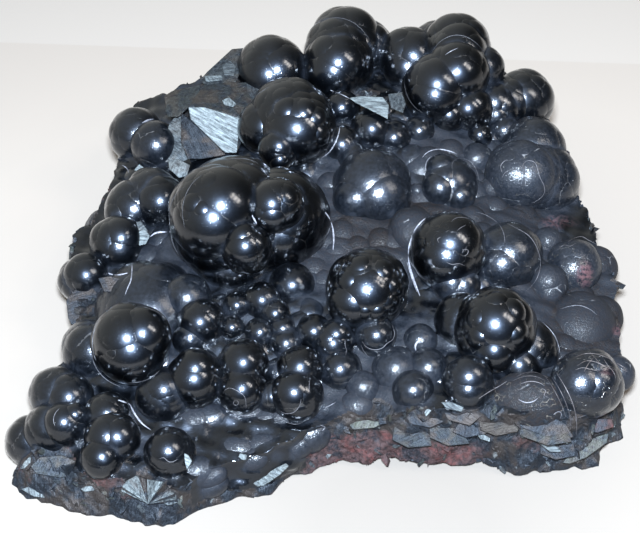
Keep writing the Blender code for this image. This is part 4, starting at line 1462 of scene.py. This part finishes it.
def rim_material():
    """Edges of broken shells, painted pale bluish as the flash's highlight on them, brownish where thin."""
    m = Nodes("shell_edge")
    pale, brown, _, _ = m.attribute("grow")
    at = m.place()
    grain = m.noise(at, 1.6, 3.0, 0.6)
    # painted highlight: the pale bluish colour stands for the flash's reflection along the edge
    colour = m.mix(m.ramp(pale, 0.15, 1.0, smooth=False), (0.022, 0.022, 0.024), (0.19, 0.19, 0.215))
    colour = m.mix(m.math("MULTIPLY", brown, 0.8), colour, m.mix(m.ramp(pale, 0.2, 0.8), (0.035, 0.022, 0.018), (0.11, 0.085, 0.065)))
    colour = m.mix(m.ramp(grain, 0.40, 0.65, 0.0, 0.55), colour, (0.02, 0.02, 0.024))
    m.set(Base_Color=colour, Roughness=0.42, Metallic=0.2, Specular_IOR_Level=0.3)
    m.set(Normal=m.bump(grain, 0.0002, 0.5))
    return m.material


make_rims(rim_material())

# ============================================================ floor, light
def area(name, at, to, size, power, colour, shape="DISK", size_y=None, spin=0.0):
    data = bpy.data.lights.new(name, "AREA")
    data.shape, data.size, data.energy, data.color = shape, size, power, colour
    if size_y is not None:
        data.size_y = size_y
    obj = bpy.data.objects.new(name, data)
    obj.location = at
    d = Vector(to) - Vector(at)
    obj.rotation_mode = "QUATERNION"
    obj.rotation_quaternion = d.to_track_quat("-Z", "Y") @ Matrix.Rotation(spin, 4, "Z").to_quaternion()
    bpy.context.scene.collection.objects.link(obj)
    return obj


def split_place(m):
    """Object position in metres, as three values."""
    where, parts = m.put("ShaderNodeTexCoord"), m.put("ShaderNodeSeparateXYZ")
    m.tree.links.new(where.outputs["Object"], parts.inputs[0])
    return parts.outputs


def make_stage():
    mesh = bpy.data.meshes.new("floor")
    bm = bmesh.new()
    bmesh.ops.create_grid(bm, x_segments=2, y_segments=2, size=1.5)
    bm.to_mesh(mesh)
    bm.free()
    floor = bpy.data.objects.new("floor", mesh)
    bpy.context.scene.collection.objects.link(floor)
    m = Nodes("pale_floor")
    aside, fore, _ = split_place(m)
    far = m.math("SQRT", m.math("ADD", m.math("POWER", m.math("SUBTRACT", aside, 0.02), 2.0), m.math("POWER", m.math("ADD", fore, 0.07), 2.0)))
    # painted shade: the floor is darker around the flash's hot spot and lighter further out, evening out the flash's
    # pool of light
    m.set(Base_Color=m.mix(m.ramp(far, 0.02, 0.17, smooth=False), (0.134, 0.117, 0.102), (0.216, 0.186, 0.160)),
          Roughness=0.7, Specular_IOR_Level=0.1)
    mesh.materials.append(m.material)
    # a backdrop sheet that starts a little behind the specimen
    left, right = at_height(-260, 33.5, 0.0) * 0.001, at_height(900, 73, 0.0) * 0.001
    back = bpy.data.meshes.new("backdrop")
    bm = bmesh.new()
    foot = [bm.verts.new(left), bm.verts.new(right)]
    line = bm.edges.new(foot)
    for k in range(8):
        made = bmesh.ops.extrude_edge_only(bm, edges=[line])["geom"]
        line = next(e for e in made if isinstance(e, bmesh.types.BMEdge))
        bmesh.ops.translate(bm, vec=(0, 0.12, 0.0008 * (k + 1)), verts=list(line.verts))
    bm.to_mesh(back)
    bm.free()
    backdrop = bpy.data.objects.new("backdrop", back)
    bpy.context.scene.collection.objects.link(backdrop)
    m = Nodes("pale_backdrop")
    m.set(Base_Color=(0.226, 0.198, 0.173), Roughness=0.8, Specular_IOR_Level=0.1)
    back.materials.append(m.material)


make_stage()
eye = Vector(EYE * 0.001)
aim = Vector(AIM * 0.001)
up = Vector(UPWARD)
area("flash", eye + up * 0.045 - Vector(AHEAD) * 0.03, aim, 0.05, 25.0, (0.72, 0.85, 1.0))
# a dim striped lamp, up to the right of the camera
lamp = (Vector(ACROSS) * 0.62 + up * 0.42 - Vector(AHEAD) * 0.66).normalized()
row = Vector(ACROSS) * 0.87 - up * 0.50
row = (row - lamp * row.dot(lamp)).normalized()
for k in range(3):
    at = aim + lamp * 0.7 + row * (k - 1) * 0.125
    area(f"strip_{k}", at, aim, 0.075, 0.85, (1.0, 0.93, 0.86), "RECTANGLE", 0.15)
    bpy.data.objects[f"strip_{k}"].matrix_world = Matrix((
        (row.x, lamp.cross(row).x, lamp.x, at.x), (row.y, lamp.cross(row).y, lamp.y, at.y),
        (row.z, lamp.cross(row).z, lamp.z, at.z), (0, 0, 0, 1)))

world = bpy.data.worlds.new("room")
bpy.context.scene.world = world
world.use_nodes = True
# the room is bright on the left and above, and dark on the right
room = world.node_tree
where = room.nodes.new("ShaderNodeTexCoord")
aside = room.nodes.new("ShaderNodeVectorMath")
aside.operation = "DOT_PRODUCT"
room.links.new(where.outputs["Generated"], aside.inputs[0])
aside.inputs[1].default_value = (-0.80, 0.25, 0.55)
shade = room.nodes.new("ShaderNodeMapRange")
shade.interpolation_type = "SMOOTHSTEP"
room.links.new(aside.outputs["Value"], shade.inputs["Value"])
for key, v in (("From Min", -0.30), ("From Max", 0.95), ("To Min", 0.08), ("To Max", 0.82)):
    shade.inputs[key].default_value = v
room.nodes["Background"].inputs[0].default_value = (0.98, 1.0, 0.96, 1)
room.links.new(shade.outputs[0], room.nodes["Background"].inputs[1])

cam = bpy.data.cameras.new("camera")
cam.sensor_fit = "HORIZONTAL"
cam.sensor_width = 36.0
cam.lens = VIEW_UNITS / 640.0 * 36.0
cam.clip_start, cam.clip_end = 0.01, 10.0
camera = bpy.data.objects.new("camera", cam)
bpy.context.scene.collection.objects.link(camera)
camera.matrix_world = Matrix((
    (ACROSS[0], UPWARD[0], -AHEAD[0], eye.x),
    (ACROSS[1], UPWARD[1], -AHEAD[1], eye.y),
    (ACROSS[2], UPWARD[2], -AHEAD[2], eye.z),
    (0, 0, 0, 1)))
bpy.context.scene.camera = camera
bpy.context.scene.view_settings.view_transform = "Standard"
bpy.context.scene.cycles.use_denoising = True
# the flash's reflections bloom a little
bpy.context.scene.use_nodes = True
sheet = bpy.context.scene.node_tree
for node in list(sheet.nodes):
    sheet.nodes.remove(node)
layers, bloom, result = (sheet.nodes.new(k) for k in ("CompositorNodeRLayers", "CompositorNodeGlare", "CompositorNodeComposite"))
bloom.glare_type, bloom.quality = "FOG_GLOW", "HIGH"
for key, v in (("Threshold", 1.5), ("Strength", 0.65), ("Size", 0.14), ("Saturation", 1.0), ("Tint", (0.50, 0.64, 1.0, 1.0))):
    bloom.inputs[key].default_value = v
bloom.inputs["Clamp"].default_value = True
bloom.inputs["Maximum"].default_value = 8.0
sheet.links.new(layers.outputs["Image"], bloom.inputs["Image"])
sheet.links.new(bloom.outputs["Image"], result.inputs["Image"])

# ================================================================ closing
import json
